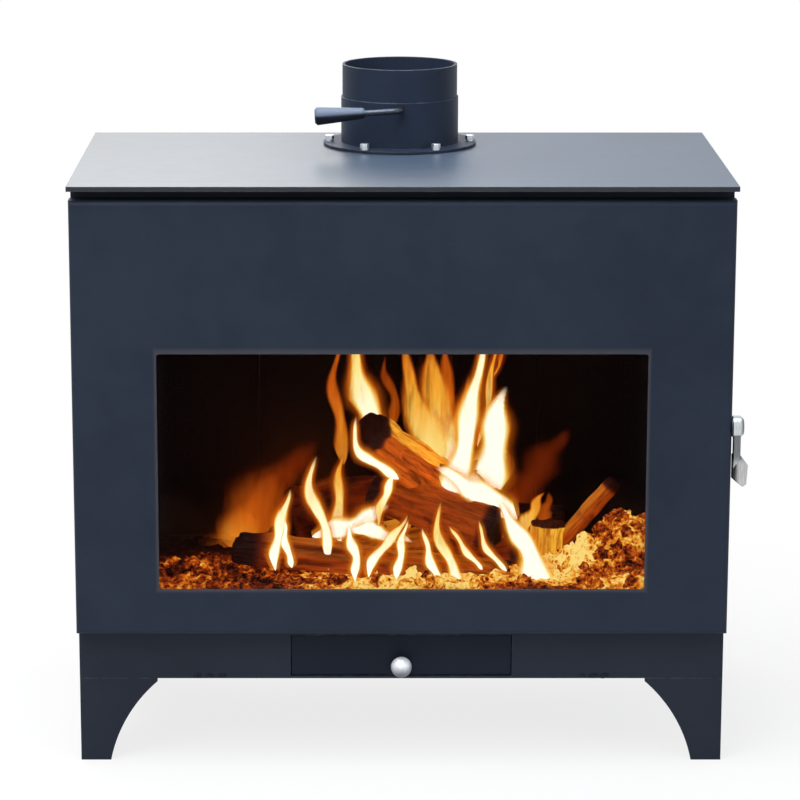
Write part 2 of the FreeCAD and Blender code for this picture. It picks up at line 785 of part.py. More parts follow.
def make_baffle():
    """Smoke baffle lying on two rails along the side panels."""
    rail_top = hearth_top + s.baffle_up
    depth = (frame_back + s.baffle_gap, rear_inside)
    across = both(side_inside - s.baffle_side)
    keep(block("baffle_plate", across, depth, (rail_top, rail_top + s.baffle_sheet)))
    rail_up = (rail_top - s.rail_size, rail_top)
    rail_inside = side_inside - s.rail_size
    rails = [
        block("baffle_rail_left", (-side_inside, -rail_inside), depth, rail_up),
        block("baffle_rail_right", (rail_inside, side_inside), depth, rail_up),
    ]
    keep(group("baffle_rails", rails))


def make_collar():
    """Stepped flue collar with its flange, gasket and bolts."""
    bore = s.collar_radius - s.collar_wall
    spigot_bore = s.spigot_radius - s.collar_wall
    step = s.flange_sheet + s.collar_height
    rim = step + s.spigot_height
    bore_end = step - s.collar_wall
    profile = [
        (bore, 0),
        (s.flange_radius, 0),
        (s.flange_radius, s.flange_sheet),
        (s.collar_radius, s.flange_sheet),
        (s.collar_radius, step),
        (s.spigot_radius, step),
        (s.spigot_radius, rim),
        (spigot_bore, rim),
        (spigot_bore, bore_end),
        (bore, bore_end),
    ]
    blank = turned("flue_collar_blank", profile, x=0, y=flue_middle, z=gasket_top)
    through = both(s.collar_radius + OVERCUT)
    spindle_hole = rod(
        "flue_collar_spindle_hole",
        "y",
        s.spindle_radius + s.running_gap,
        (flue_middle + through[0], flue_middle + through[1]),
        x=0,
        z=damper_level,
    )
    flange_span = (gasket_top, flange_top)
    keep(cut("flue_collar", blank, spindle_hole, *bolt_holes("flue_collar", past(flange_span))))
    gasket_span = (plate_top, gasket_top)
    ring = rod("collar_gasket_ring", "z", s.flange_radius, gasket_span, x=0, y=flue_middle)
    hollow = rod(
        "collar_gasket_hollow", "z", s.flange_radius - s.gasket_wall, past(gasket_span), x=0, y=flue_middle
    )
    keep(cut("collar_gasket", ring, hollow, *bolt_holes("collar_gasket", past(gasket_span))))
    washer_span = (flange_top, flange_top + s.washer_sheet)
    washers = []
    for x, y in bolt_places():
        disc = rod("collar_washer_disc", "z", s.washer_radius, washer_span, x=x, y=y)
        hole = rod("collar_washer_hole", "z", s.bolt_hole, past(washer_span), x=x, y=y)
        washers.append(cut("collar_washer", disc, hole))
    keep(group("collar_washers", washers))
    nut_span = (plate_under - s.bolt_nut, plate_under)
    make_bolts(
        "collar_bolts",
        bolt_places(),
        washer_span[1],
        nut_span[0] - s.bolt_end,
        s.bolt_radius,
        s.bolt_across,
        s.bolt_head,
    )
    make_nuts("collar_nuts", bolt_places(), nut_span, s.bolt_radius, s.bolt_across)


def make_damper():
    """Damper plate on its spindle, with the crank, the grip and the clip that keeps it in."""
    bore = s.collar_radius - s.collar_wall
    rear_end = flue_middle + s.collar_radius + s.spindle_end
    crank = flue_middle - s.collar_radius - s.crank_out
    bend_end = crank + s.spindle_bend
    slope = math.radians(s.crank_droop.number)
    droop = Rotation(Vector(0, 1, 0), -s.crank_droop.number)

    def on_crank(item, along, reach, y):
        """Puts a shape on the sloping crank, at a reach from the spindle axis."""
        low = damper_level - reach * math.sin(slope)
        return place(item, x=-(reach * math.cos(slope)), y=y, z=low, turn=droop * along)

    corner = quarter_bend("damper_spindle_corner", "z", s.spindle_bend, s.spindle_radius, 0)
    arm_span = (-s.crank_length, -s.spindle_bend)
    arm = rod("damper_spindle_crank", "x", s.spindle_radius, arm_span)
    spindle = fuse(
        "damper_spindle_bar",
        rod("damper_spindle_shaft", "y", s.spindle_radius, (bend_end, rear_end), x=0, z=damper_level),
        on_crank(corner, spun(-90), s.spindle_bend, bend_end),
        on_crank(arm, ALONG["x"], s.crank_length, crank),
    )
    plate_radius = bore - s.damper_gap
    seat = damper_level + s.spindle_flat
    plate_span = (seat, seat + s.damper_sheet)
    flat = block(
        "damper_spindle_flat",
        both(s.spindle_radius + OVERCUT),
        (flue_middle - plate_radius, flue_middle + plate_radius),
        (seat, damper_level + s.spindle_radius + OVERCUT),
    )
    places = [flue_middle - s.damper_screw_place, flue_middle + s.damper_screw_place]
    screw_span = (damper_level - s.spindle_radius, plate_span[1])
    fit = s.damper_screw + s.running_gap
    holes = [rod("damper_screw_hole", "z", fit, past(screw_span), x=0, y=y) for y in places]
    keep(cut("damper_spindle", spindle, flat, *holes))
    disc = rod("damper_plate_disc", "z", plate_radius, plate_span, x=0, y=flue_middle)
    disc_holes = [rod("damper_plate_hole", "z", fit, past(screw_span), x=0, y=y) for y in places]
    keep(cut("damper_plate", disc, *disc_holes))
    head_span = (plate_span[1], plate_span[1] + s.damper_screw_top)
    screws = []
    for y in places:
        shank = rod("damper_screw_shank", "z", s.damper_screw, screw_span, x=0, y=y)
        head = rod("damper_screw_cap", "z", s.damper_screw_head, head_span, x=0, y=y)
        screws.append(fuse("damper_screw_whole", shank, head))
    keep(group("damper_screws", screws))
    clip_front = flue_middle + s.collar_radius + s.clip_gap
    clip_span = (clip_front, clip_front + s.clip_sheet)
    clip = rod("damper_clip_disc", "y", s.clip_radius, clip_span, x=0, z=damper_level)
    clip_hole = rod(
        "damper_clip_hole", "y", s.spindle_radius + s.running_gap, past(clip_span), x=0, z=damper_level
    )
    keep(cut("damper_clip", clip, clip_hole))
    socket = s.spindle_radius + s.running_gap
    socket_end = s.grip_start + s.grip_length - s.crank_length
    profile = [
        (0, 0),
        (s.grip_thick - s.grip_chamfer, 0),
        (s.grip_thick, s.grip_chamfer),
        (s.grip_thin, s.grip_length - s.grip_chamfer),
        (s.grip_thin - s.grip_chamfer / 2, s.grip_length),
        (socket, s.grip_length),
        (socket, socket_end),
        (0, socket_end),
    ]
    grip = turned("damper_grip", profile)
    keep(on_crank(grip, ALONG["x"], s.grip_start + s.grip_length, crank))


hinge_x = -(door_right - s.hinge_inset)
hinge_y = door_rear - s.hinge_inset
HINGES = {
    "lower": door_bottom + s.hinge_low,
    "upper": door_top - s.hinge_high,
}


def make_hinges():
    """Two lift-off hinges: a knuckle on the frame with a pin, and one on the door over it."""
    leaf = (-return_inside, s.leaf_width - return_inside)
    half = s.hinge_height / 2
    lower = []
    upper = []
    pins = []
    for place_name, middle in HINGES.items():
        spans = (("frame", (middle - half, middle), (hinge_y, frame_front), lower),
                 ("door", (middle, middle + half), (skin_back, hinge_y), upper))
        for owner, upright, depth, knuckles in spans:
            name = f"{place_name}_{owner}_knuckle"
            barrel = rod(f"{name}_barrel", "z", s.barrel_radius, upright, x=hinge_x, y=hinge_y)
            arm = block(f"{name}_leaf", leaf, depth, upright)
            bore = rod(
                f"{name}_bore",
                "z",
                s.hinge_pin_radius + s.running_gap,
                past(upright),
                x=hinge_x,
                y=hinge_y,
            )
            knuckles.append(cut(name, fuse(f"{name}_whole", barrel, arm), bore))
        pin_span = (middle - half, middle + half)
        pins.append(rod(f"{place_name}_hinge_pin", "z", s.hinge_pin_radius, pin_span, x=hinge_x, y=hinge_y))
    keep(group("frame_hinges", lower))
    keep(group("door_hinges", upper))
    keep(group("hinge_pins", pins))


latch_y = door_front + s.latch_back
latch_z = door_bottom + s.latch_up
hook_right = door_right - s.hook_inset
hook_left = hook_right - s.hook_sheet
boss_start = door_right + s.bush_flange + s.boss_gap
LATCH_AXIS = {"y": latch_y, "z": latch_z}


def make_door_panel():
    """Folded door pan with the window, the hinge notches and the hole of the latch bush."""
    depth = (door_front, door_rear)
    upright = (door_bottom, door_top)
    blank = block("door_panel_blank", both(door_right), depth, upright)
    face = door_front.number

    def on_the_face(edge):
        return all(abs(vertex.Point.y - face) < OVERCUT / 10 for vertex in edge.Vertexes)

    bent = rounded("door_panel_bent", blank, s.door_bend, on_the_face)
    hollow = block(
        "door_panel_hollow",
        both(return_inside),
        (skin_back, door_rear + OVERCUT),
        (door_bottom + s.door_sheet, door_top - s.door_sheet),
    )
    window = rounded_block(
        "door_panel_window",
        both(window_right),
        past((door_front, skin_back)),
        (window_bottom, window_top),
        s.window_corner,
    )
    edge_across = past((-door_right, -return_inside))
    notch_depth = (hinge_y - s.barrel_radius - s.hinge_notch, door_rear + OVERCUT)
    half = s.hinge_height / 2 + s.hinge_notch
    notches = [
        block("door_panel_notch", edge_across, notch_depth, (middle - half, middle + half))
        for middle in HINGES.values()
    ]
    bush_hole = rod(
        "door_panel_bush_hole",
        "x",
        s.shaft_radius + s.running_gap + s.bush_wall + s.running_gap,
        past((return_inside, door_right)),
        **LATCH_AXIS,
    )
    keep(cut("door_panel", bent, hollow, window, *notches, bush_hole))


def make_glazing():
    """Glass, the tape it is bedded on, and the bars with studs and nuts that hold it."""
    across = both(glass_right)
    upright = (glass_bottom, glass_top)
    keep(block("door_glass", across, (glass_front, glass_back), upright))
    tape_span = (skin_back, glass_front)
    tape = block("glass_tape_sheet", across, tape_span, upright)
    tape_window = block(
        "glass_tape_window",
        both(window_right + s.tape_reveal),
        past(tape_span),
        (window_bottom - s.tape_reveal, window_top + s.tape_reveal),
    )
    keep(cut("glass_tape", tape, tape_window))
    bar_span = (glass_back, bar_back)
    rows = {
        "lower": ((glass_bottom - s.bar_reach, glass_bottom + s.bar_lap), glass_bottom - s.stud_offset),
        "upper": ((glass_top - s.bar_lap, glass_top + s.bar_reach), glass_top + s.stud_offset),
    }
    nut_span = (bar_back, bar_back + s.stud_nut_height)
    stud_span = (skin_back, nut_span[1] + s.stud_end)
    fit = s.stud_radius + s.running_gap
    bars = []
    studs = []
    nuts = []
    for row, (bar_up, level) in rows.items():
        outer_stud = glass_right - s.stud_inset
        stud_pitch = outer_stud * 2 / (BAR_STUDS - 1)
        places = [stud_pitch * number - outer_stud for number in range(BAR_STUDS)]
        blank = block(f"{row}_glass_bar_blank", across, bar_span, bar_up)
        holes = [rod("glass_bar_hole", "y", fit, past(bar_span), x=x, z=level) for x in places]
        bars.append(cut(f"{row}_glass_bar", blank, *holes))
        for x in places:
            studs.append(rod("glass_stud", "y", s.stud_radius, stud_span, x=x, z=level))
            nut = hexagon("glass_nut_blank", "y", s.stud_nut_across, nut_span, x=x, z=level)
            bore = rod("glass_nut_bore", "y", fit, past(nut_span), x=x, z=level)
            nuts.append(cut("glass_nut", nut, bore))
    keep(group("glass_bars", bars))
    keep(group("glass_studs", studs))
    keep(group("glass_nuts", nuts))


def make_rope():
    """Rope seal in its channel on the back of the door."""
    channel_span = (skin_back, skin_back + s.channel_height)
    groove_half = s.rope_radius + s.seal_gap
    ring = rope_ring("rope_channel_ring", channel_half, -channel_half, channel_span)
    groove_span = (skin_back + s.channel_sheet, channel_span[1] + OVERCUT)
    groove = rope_ring("rope_channel_groove", groove_half, -groove_half, groove_span)
    keep(cut("rope_channel", ring, groove))
    straight_x = both(rope_right - s.rope_bend)
    straight_z = (rope_bottom + s.rope_bend, rope_top - s.rope_bend)
    stretches = [
        rod("rope_bottom", "x", s.rope_radius, straight_x, y=rope_middle, z=rope_bottom),
        rod("rope_top", "x", s.rope_radius, straight_x, y=rope_middle, z=rope_top),
        rod("rope_left", "z", s.rope_radius, straight_z, x=-rope_right, y=rope_middle),
        rod("rope_right", "z", s.rope_radius, straight_z, x=rope_right, y=rope_middle),
    ]
    corners = [
        (straight_x[1], straight_z[0]),
        (straight_x[0], straight_z[0]),
        (straight_x[0], straight_z[1]),
        (straight_x[1], straight_z[1]),
    ]
    for number, (x, z) in enumerate(corners):
        stretches.append(
            quarter_bend(
                "rope_corner", "y", s.rope_bend, s.rope_radius, 90 * number, x=x, y=rope_middle, z=z
            )
        )
    keep(fuse("door_rope", *stretches))


def make_latch():
    """Bush in the door, shaft, hook and nut inside it, and the keeper on the frame."""
    bore = s.shaft_radius + s.running_gap
    outer = bore + s.bush_wall
    sleeve = s.bush_inside + s.door_sheet
    flange_end = sleeve + s.bush_flange
    profile = [
        (bore, 0),
        (outer, 0),
        (outer, sleeve),
        (s.bush_flange_radius, sleeve),
        (s.bush_flange_radius, flange_end),
        (bore, flange_end),
    ]
    keep(turned("latch_bush", profile, "x", x=return_inside - s.bush_inside, **LATCH_AXIS))
    nut_span = (hook_left - s.latch_nut_height, hook_left)
    shaft_end = boss_start + s.boss_length - s.boss_end
    thread_span = (nut_span[0] - s.thread_end, hook_right)
    keep(
        fuse(
            "latch_shaft",
            rod("latch_shaft_bar", "x", s.shaft_radius, (hook_right, shaft_end), **LATCH_AXIS),
            rod("latch_shaft_thread", "x", s.thread_radius, thread_span, **LATCH_AXIS),
        )
    )
    hook_span = (hook_left, hook_right)
    fit = s.thread_radius + s.running_gap
    straight_back = 90
    arm_turn = s.arm_start.number + straight_back
    lip_turn = s.arm_end.number + straight_back
    arm = wedge(
        "latch_hook_arm", "x", s.hook_radius, hook_span, arm_turn, s.arm_end - s.arm_start, **LATCH_AXIS
    )
    lip_outer = wedge(
        "latch_hook_lip_outer", "x", s.hook_radius, hook_span, lip_turn, s.lip_end - s.arm_end, **LATCH_AXIS
    )
    lip_inner = rod(
        "latch_hook_lip_inner", "x", s.hook_radius - s.hook_lip, past(hook_span), **LATCH_AXIS
    )
    hub = rod("latch_hook_hub", "x", s.hub_radius, hook_span, **LATCH_AXIS)
    lip = cut("latch_hook_lip", lip_outer, lip_inner)
    hook = fuse("latch_hook_whole", hub, arm, lip)
    keep(cut("latch_hook", hook, rod("latch_hook_bore", "x", fit, past(hook_span), **LATCH_AXIS)))
    nut = hexagon("latch_nut_blank", "x", s.latch_nut_across, nut_span, **LATCH_AXIS)
    keep(cut("latch_nut", nut, rod("latch_nut_bore", "x", fit, past(nut_span), **LATCH_AXIS)))
    pin_y = latch_y + s.keeper_back
    pin_z = latch_z + s.keeper_up
    web_left = hook_right + s.keeper_gap
    web_right = web_left + s.keeper_sheet
    web = block(
        "latch_keeper_web",
        (web_left, web_right),
        (pin_y - s.keeper_wall, frame_front),
        (pin_z - s.keeper_radius, pin_z + s.keeper_over),
    )
    pin_span = (hook_left - s.keeper_gap, web_right)
    pin = rod("latch_keeper_pin", "x", s.keeper_radius, pin_span, y=pin_y, z=pin_z)
    keep(fuse("latch_keeper", web, pin))


def make_handle():
    """Boss on the shaft's end and the lever with its curved paddle."""
    bore = s.shaft_radius + s.running_gap
    depth = s.boss_length - s.boss_end
    profile = [
        (bore, 0),
        (s.boss_radius, 0),
        (s.boss_radius, s.boss_length - s.boss_chamfer),
        (s.boss_radius - s.boss_chamfer, s.boss_length),
        (0, s.boss_length),
        (0, depth),
        (bore, depth),
    ]
    boss = turned("handle_boss_blank", profile, "x", x=boss_start, **LATCH_AXIS)
    lever_across = (door_right + s.lever_out, door_right + s.lever_out + s.lever_sheet)
    lever_deep = (latch_y - s.lever_width / 2, latch_y + s.lever_width / 2)
    seat = latch_z - s.lever_seat
    slot = block(
        "handle_boss_slot", lever_across, lever_deep, (latch_z - s.boss_radius - OVERCUT, seat)
    )
    keep(cut("handle_boss", boss, slot))
    lever_top = s.lever_drop - s.lever_seat
    side = [
        (0, s.lever_taper),
        (s.lever_width / 2 - s.lever_tip / 2, 0),
        (s.lever_width / 2 + s.lever_tip / 2, 0),
        (s.lever_width, s.lever_taper),
        (s.lever_width, lever_top),
        (0, lever_top),
    ]
    bar = profiled(
        "handle_lever_bar",
        "YZ_Plane",
        side,
        s.lever_sheet,
        x=lever_across[0],
        y=lever_deep[0],
        z=latch_z - s.lever_drop,
    )
    paddle_x = door_right + s.paddle_reach
    paddle_y = latch_y - s.paddle_front + s.paddle_radius
    paddle_up = (latch_z - s.paddle_bottom, latch_z - s.paddle_neck)
    straight_forward = 270
    start = straight_forward - s.paddle_angle.number
    outer = wedge(
        "handle_paddle_outer",
        "z",
        s.paddle_radius,
        paddle_up,
        start,
        s.paddle_angle,
        x=paddle_x,
        y=paddle_y,
    )
    inner = rod(
        "handle_paddle_inner",
        "z",
        s.paddle_radius - s.paddle_sheet,
        past(paddle_up),
        x=paddle_x,
        y=paddle_y,
    )
    curved = cut("handle_paddle_curved", outer, inner)
    front_view = [
        (0, s.paddle_heel_rise),
        (s.paddle_reach - s.paddle_tip_inset, 0),
        (s.paddle_reach - s.paddle_slant, s.paddle_corner_rise),
        (s.paddle_reach, s.paddle_bottom - s.paddle_top),
        (s.lever_out + s.lever_sheet, s.paddle_bottom - s.paddle_neck),
        (0, s.paddle_bottom - s.paddle_neck),
    ]
    blade = profiled(
        "handle_paddle_blade",
        "XZ_Plane",
        front_view,
        s.paddle_radius * 2,
        x=door_right,
        y=paddle_y + OVERCUT,
        z=paddle_up[0],
    )
    shape = rounded("handle_paddle_shape", blade, s.paddle_rounding, runs_front_to_back)
    keep(fuse("handle_lever", bar, common("handle_paddle", curved, shape)))


def make_drawer():
    """Ash tray with its front, knob and screw, and the runners it slides on."""
    tray_bottom = plinth_floor_top + s.runner_height
    half = s.drawer_width / 2
    tray_half = half - s.tray_inset
    tray_rear = tray_front + s.tray_length
    tray_wall_front = tray_rear - s.tray_sheet
    tray_wall_back = tray_front + s.tray_sheet
    floor_up = (tray_bottom, tray_bottom + s.tray_sheet)
    wall_up = (floor_up[1], tray_bottom + s.tray_height)
    side_run = (tray_wall_back, tray_wall_front)
    knob_level = s.leg_height + s.knob_up
    fit = s.screw_radius + s.running_gap
    screw_path = past((drawer_face, tray_wall_back))
    tray_front_wall = block("ash_tray_front_blank", both(tray_half), (tray_front, tray_wall_back), wall_up)
    tray_hole = rod("ash_tray_hole", "y", fit, screw_path, x=0, z=knob_level)
    tray_sheets = [
        block("ash_tray_floor", both(tray_half), (tray_front, tray_rear), floor_up),
        block("ash_tray_left_wall", (-tray_half, s.tray_sheet - tray_half), side_run, wall_up),
        block("ash_tray_right_wall", (tray_half - s.tray_sheet, tray_half), side_run, wall_up),
        block("ash_tray_rear_wall", both(tray_half), (tray_wall_front, tray_rear), wall_up),
        cut("ash_tray_front_wall", tray_front_wall, tray_hole),
    ]
    keep(group("ash_tray", tray_sheets))
    front_up = (plinth_floor_top + s.drawer_gap, plinth_top - s.drawer_head - s.drawer_gap)
    front = block("drawer_front_blank", both(half), (drawer_face, tray_front), front_up)
    front_hole = rod("drawer_front_hole", "y", fit, screw_path, x=0, z=knob_level)
    keep(cut("drawer_front", front, front_hole))
    ball = doc.addObject("Part::Sphere", "drawer_knob_ball")
    bind(ball, Radius=s.knob_radius)
    ball_middle = drawer_face - s.knob_neck - s.knob_radius
    place(ball, x=0, y=ball_middle, z=knob_level)
    stem = rod("drawer_knob_stem", "y", s.knob_stem, (ball_middle, drawer_face), x=0, z=knob_level)
    screw_start = drawer_face - s.screw_depth
    screw_hole = rod(
        "drawer_knob_hole", "y", fit, (screw_start, drawer_face + OVERCUT), x=0, z=knob_level
    )
    keep(cut("drawer_knob", fuse("drawer_knob_whole", ball, stem), screw_hole))
    head_span = (tray_wall_back, tray_wall_back + s.screw_head_height)
    keep(
        fuse(
            "knob_screw",
            rod("knob_screw_shank", "y", s.screw_radius, (screw_start, tray_wall_back), x=0, z=knob_level),
            rod("knob_screw_cap", "y", s.screw_head, head_span, x=0, z=knob_level),
        )
    )
    depth = (tray_front, tray_front + s.tray_length)
    guide_inside = tray_half + s.runner_gap
    guide_outside = guide_inside + s.plinth_sheet
    runner_inside = guide_outside - s.runner_width
    guide_up = (plinth_floor_top, plinth_floor_top + s.runner_guide)
    base_up = (plinth_floor_top, tray_bottom)
    runners = [
        fuse(
            "left_runner",
            block("left_runner_base", (-guide_outside, -runner_inside), depth, base_up),
            block("left_runner_guide", (-guide_outside, -guide_inside), depth, guide_up),
        ),
        fuse(
            "right_runner",
            block("right_runner_base", (runner_inside, guide_outside), depth, base_up),
            block("right_runner_guide", (guide_inside, guide_outside), depth, guide_up),
        ),
    ]
    keep(group("drawer_runners", runners))


def check_and_write():
    """Stops on any failed object, then writes every piece to its own file."""
    doc.recompute()
    for item in doc.Objects:
        if "Invalid" in item.State or "Error" in item.State:
            raise RuntimeError(f"{item.Label} failed: {item.State}")
    for item in pieces:
        if item.Shape.isNull() or not item.Shape.isValid() or not item.Shape.Solids:
            raise RuntimeError(f"{item.Label} has no sound shape")
    os.makedirs(PARTS_FOLDER, exist_ok=True)
    for item in pieces:
        item.Shape.exportStep(os.path.join(PARTS_FOLDER, f"{item.Label}.step"))


make_top_plate()
make_shell()
make_plinth()
make_legs()
make_grate()
make_bricks()
make_baffle()
make_collar()
make_damper()
make_hinges()
make_door_panel()
make_glazing()
make_rope()
make_latch()
make_handle()
make_drawer()
check_and_write()
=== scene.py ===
"""Looks of a steel wood stove: its finishes, its seals and welds, and the fire in its firebox."""

import json
import math
import random

import bpy
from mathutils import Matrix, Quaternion, Vector


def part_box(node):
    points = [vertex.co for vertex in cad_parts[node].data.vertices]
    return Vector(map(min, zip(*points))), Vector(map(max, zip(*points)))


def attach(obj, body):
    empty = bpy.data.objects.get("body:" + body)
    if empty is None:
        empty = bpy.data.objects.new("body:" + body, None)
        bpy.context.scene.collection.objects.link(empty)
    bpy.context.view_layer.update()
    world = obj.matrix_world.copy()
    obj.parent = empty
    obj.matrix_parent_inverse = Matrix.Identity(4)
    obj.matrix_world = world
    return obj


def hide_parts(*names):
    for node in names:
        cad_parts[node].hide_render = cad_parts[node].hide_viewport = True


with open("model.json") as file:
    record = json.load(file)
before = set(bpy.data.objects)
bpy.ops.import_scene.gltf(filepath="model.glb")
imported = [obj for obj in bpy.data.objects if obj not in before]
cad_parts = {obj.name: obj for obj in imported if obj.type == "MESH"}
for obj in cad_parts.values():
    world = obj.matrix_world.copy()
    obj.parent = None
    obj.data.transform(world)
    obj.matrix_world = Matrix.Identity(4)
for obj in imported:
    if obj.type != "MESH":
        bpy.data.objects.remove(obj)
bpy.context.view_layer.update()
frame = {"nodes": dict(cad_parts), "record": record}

# Finishes


class Value:
    """A number, colour or vector on its way through the nodes of a finish."""

    def __init__(self, finish, socket):
        self.finish = finish
        self.socket = socket

    def maths(self, operation, *terms):
        return self.finish.node("ShaderNodeMath", {"operation": operation}, dict(enumerate(terms)))

    def __add__(self, other):
        return self.maths("ADD", self, other)

    __radd__ = __add__

    def __sub__(self, other):
        return self.maths("SUBTRACT", self, other)

    def __rsub__(self, other):
        return self.maths("SUBTRACT", other, self)

    def __mul__(self, other):
        return self.maths("MULTIPLY", self, other)

    def __truediv__(self, other):
        return self.maths("DIVIDE", self, other)

    def __pow__(self, power):
        return self.maths("POWER", self, power)

    def __abs__(self):
        return self.maths("ABSOLUTE", self)

    def at_least(self, other):
        """The larger of two values."""
        return self.maths("MAXIMUM", self, other)

    def rise(self, low, high):
        """0 below low, 1 above high, and a smooth change between them."""
        ends = {"Value": self, "From Min": low, "From Max": high}
        return self.finish.node("ShaderNodeMapRange", {"interpolation_type": "SMOOTHSTEP"}, ends)


class Finish:
    """A procedural material, or the light all round, with short ways to the nodes that it needs."""

    def __init__(self, name, world=False):
        kept_in = bpy.data.worlds if world else bpy.data.materials
        self.name = name
        self.material = kept_in.new(name)
        self.material.use_nodes = True
        self.tree = self.material.node_tree
        self.tree.nodes.clear()
        self.end = self.tree.nodes.new("ShaderNodeOutputWorld" if world else "ShaderNodeOutputMaterial")

    def node(self, kind, settings=None, inputs=None, output=0):
        """Any node: its settings first, then the values or links of its sockets."""
        made = self.tree.nodes.new(kind)
        for name, value in (settings or {}).items():
            if name == "stops":
                self.set_stops(made.color_ramp, value)
            else:
                setattr(made, name, value)
        for name, value in (inputs or {}).items():
            if isinstance(value, Value):
                self.tree.links.new(value.socket, made.inputs[name])
            else:
                made.inputs[name].default_value = value
        return Value(self, made.outputs[output])

    def set_stops(self, ramp, stops):
        while len(ramp.elements) < len(stops):
            ramp.elements.new(1.0)
        for element, (position, colour) in zip(ramp.elements, stops):
            element.position = position
            element.color = (*colour, 1.0)

    def place(self):
        """Where a point lies on the piece, in metres."""
        return self.node("ShaderNodeTexCoord", output="Object")

    def axis(self, name, spot=None):
        """One coordinate of a point."""
        return self.node("ShaderNodeSeparateXYZ", {}, {"Vector": spot or self.place()}, name)

    def facing_up(self):
        """1 where the surface faces up, 0 where it is upright and -1 where it faces down."""
        return self.axis("Z", self.node("ShaderNodeNewGeometry", output="Normal"))

    def noise(self, size, detail=3.0, spot=None, stretch=None, roughness=0.5):
        """Cloudy noise whose lumps are about a size in metres."""
        spot = spot or self.place()
        if stretch is not None:
            spot = self.node("ShaderNodeMapping", {}, {"Vector": spot, "Scale": stretch})
        inputs = {"Vector": spot, "Scale": 1.0 / size, "Detail": detail, "Roughness": roughness}
        return self.node("ShaderNodeTexNoise", {}, inputs)

    def cells(self, size):
        """Distance within cells that are about a size in metres."""
        return self.node("ShaderNodeTexVoronoi", {}, {"Vector": self.place(), "Scale": 1.0 / size})

    def attribute(self, name, output="Fac"):
        return self.node("ShaderNodeAttribute", {"attribute_name": name}, {}, output)

    def mix(self, share, low, high):
        """One colour going over to another."""
        inputs = {0: share, 6: low, 7: high}
        return self.node("ShaderNodeMix", {"data_type": "RGBA"}, self.full(inputs), 2)

    def ramp(self, value, stops):
        """Colours along a value from 0 to 1."""
        return self.node("ShaderNodeValToRGB", {"stops": stops}, {"Fac": value})

    def full(self, inputs):
        """The same inputs, with plain colours given their fourth number."""
        return {k: (*v, 1.0) if isinstance(v, tuple) and len(v) == 3 else v for k, v in inputs.items()}

    def soft_edge(self, radius):
        """The surface's direction with its edges eased over a radius."""
        return self.node("ShaderNodeBevel", {"samples": 4}, {"Radius": radius})

    def edge(self, radius):
        """1 on an edge and 0 away from it."""
        eased = self.soft_edge(radius)
        true = self.node("ShaderNodeNewGeometry", output="True Normal")
        settings = {"operation": "DOT_PRODUCT"}
        match = self.node("ShaderNodeVectorMath", settings, {0: eased, 1: true}, "Value")
        return (1.0 - match).rise(0.02, 0.22)

    def bump(self, height, depth, normal=None):
        """A surface raised by up to a depth in metres."""
        inputs = {"Height": height, "Distance": depth, "Strength": 1.0}
        if normal is not None:
            inputs["Normal"] = normal
        return self.node("ShaderNodeBump", {}, inputs)

    def seen(self):
        """1 for what the eye sees, also in a mirror or through glass, and 0 for what only lights."""
        rays = ("Is Camera Ray", "Is Glossy Ray", "Is Transmission Ray")
        camera, glossy, through = (self.node("ShaderNodeLightPath", output=ray) for ray in rays)
        return camera.at_least(glossy).at_least(through)

    def show(self, shader):
        """Puts a shader on the surface."""
        self.tree.links.new(shader.socket, self.end.inputs["Surface"])
        return self

    def surface(self, **sockets):
        """The usual shader. A socket's name is written with _ for each space."""
        inputs = {name.replace("_", " "): value for name, value in sockets.items()}
        return self.show(self.node("ShaderNodeBsdfPrincipled", {}, self.full(inputs)))


# The glass reaches past the window's edge on every side.
GLASS_LAP = 0.010
GLASS_LOW, GLASS_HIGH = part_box("door_glass")
WINDOW_HALF = GLASS_HIGH.x - GLASS_LAP
WINDOW_BOTTOM = GLASS_LOW.z + GLASS_LAP
WINDOW_TOP = GLASS_HIGH.z - GLASS_LAP
# A painted highlight greys the paint up to the first distance from the window's edge and fades to the
# second, twice that above.
WINDOW_HIGHLIGHT_START, WINDOW_HIGHLIGHT_END = 0.0010, 0.0046
WINDOW_HIGHLIGHT_SHARE = 0.50


def stove_paint(
    name, dark, light, roughness, specular, grain_depth=0.00006, unevenness=1.0, painted_shade_sides=None, window=False
):
    """High-heat spray paint: cloudy, finely grained, its edges painted lighter, partly rubbed thin and
    partly a painted highlight.
    """
    f = Finish(name)
    cloud = f.noise(0.22, 3.0)
    mottle = f.noise(0.03, 4.0)
    grain = f.noise(0.0016, 2.0)
    speck = f.noise(0.006, 3.0).rise(0.64, 0.74)
    # Edges painted lighter: partly wear, partly a painted highlight.
    worn = f.edge(0.0016) * f.noise(0.012, 3.0).rise(0.38, 0.66)
    tone = f.mix((cloud * 0.7 + mottle * 0.3).rise(0.36, 0.64), dark, light)
    tone = f.mix(speck * 0.035, tone, (0.10, 0.11, 0.13))
    # Painted shade: faces that do not face up take the darker colour.
    if painted_shade_sides:
        tone = f.mix(f.facing_up().rise(0.3, 0.8), painted_shade_sides, tone)
    # Painted highlight: a grey band round the window's edge.
    if window:
        height = f.axis("Z")
        beyond = ((height - WINDOW_TOP) * 0.5).at_least(WINDOW_BOTTOM - height)
        beyond = beyond.at_least(abs(f.axis("X")) - WINDOW_HALF)
        grey = (1.0 - beyond.rise(WINDOW_HIGHLIGHT_START, WINDOW_HIGHLIGHT_END)) * WINDOW_HIGHLIGHT_SHARE
        tone = f.mix(grey, tone, (0.064, 0.062, 0.068))
    tone = f.mix(worn * 0.45, tone, (0.16, 0.18, 0.22))
    drift = (mottle - 0.5) * (0.16 * unevenness) + (cloud - 0.5) * (0.10 * unevenness)
    gloss = roughness + drift - worn * 0.10
    surface = f.bump(grain + mottle * 0.6, grain_depth, f.soft_edge(0.0012))
    return f.surface(Base_Color=tone, Roughness=gloss, Specular_IOR_Level=specular, Normal=surface)


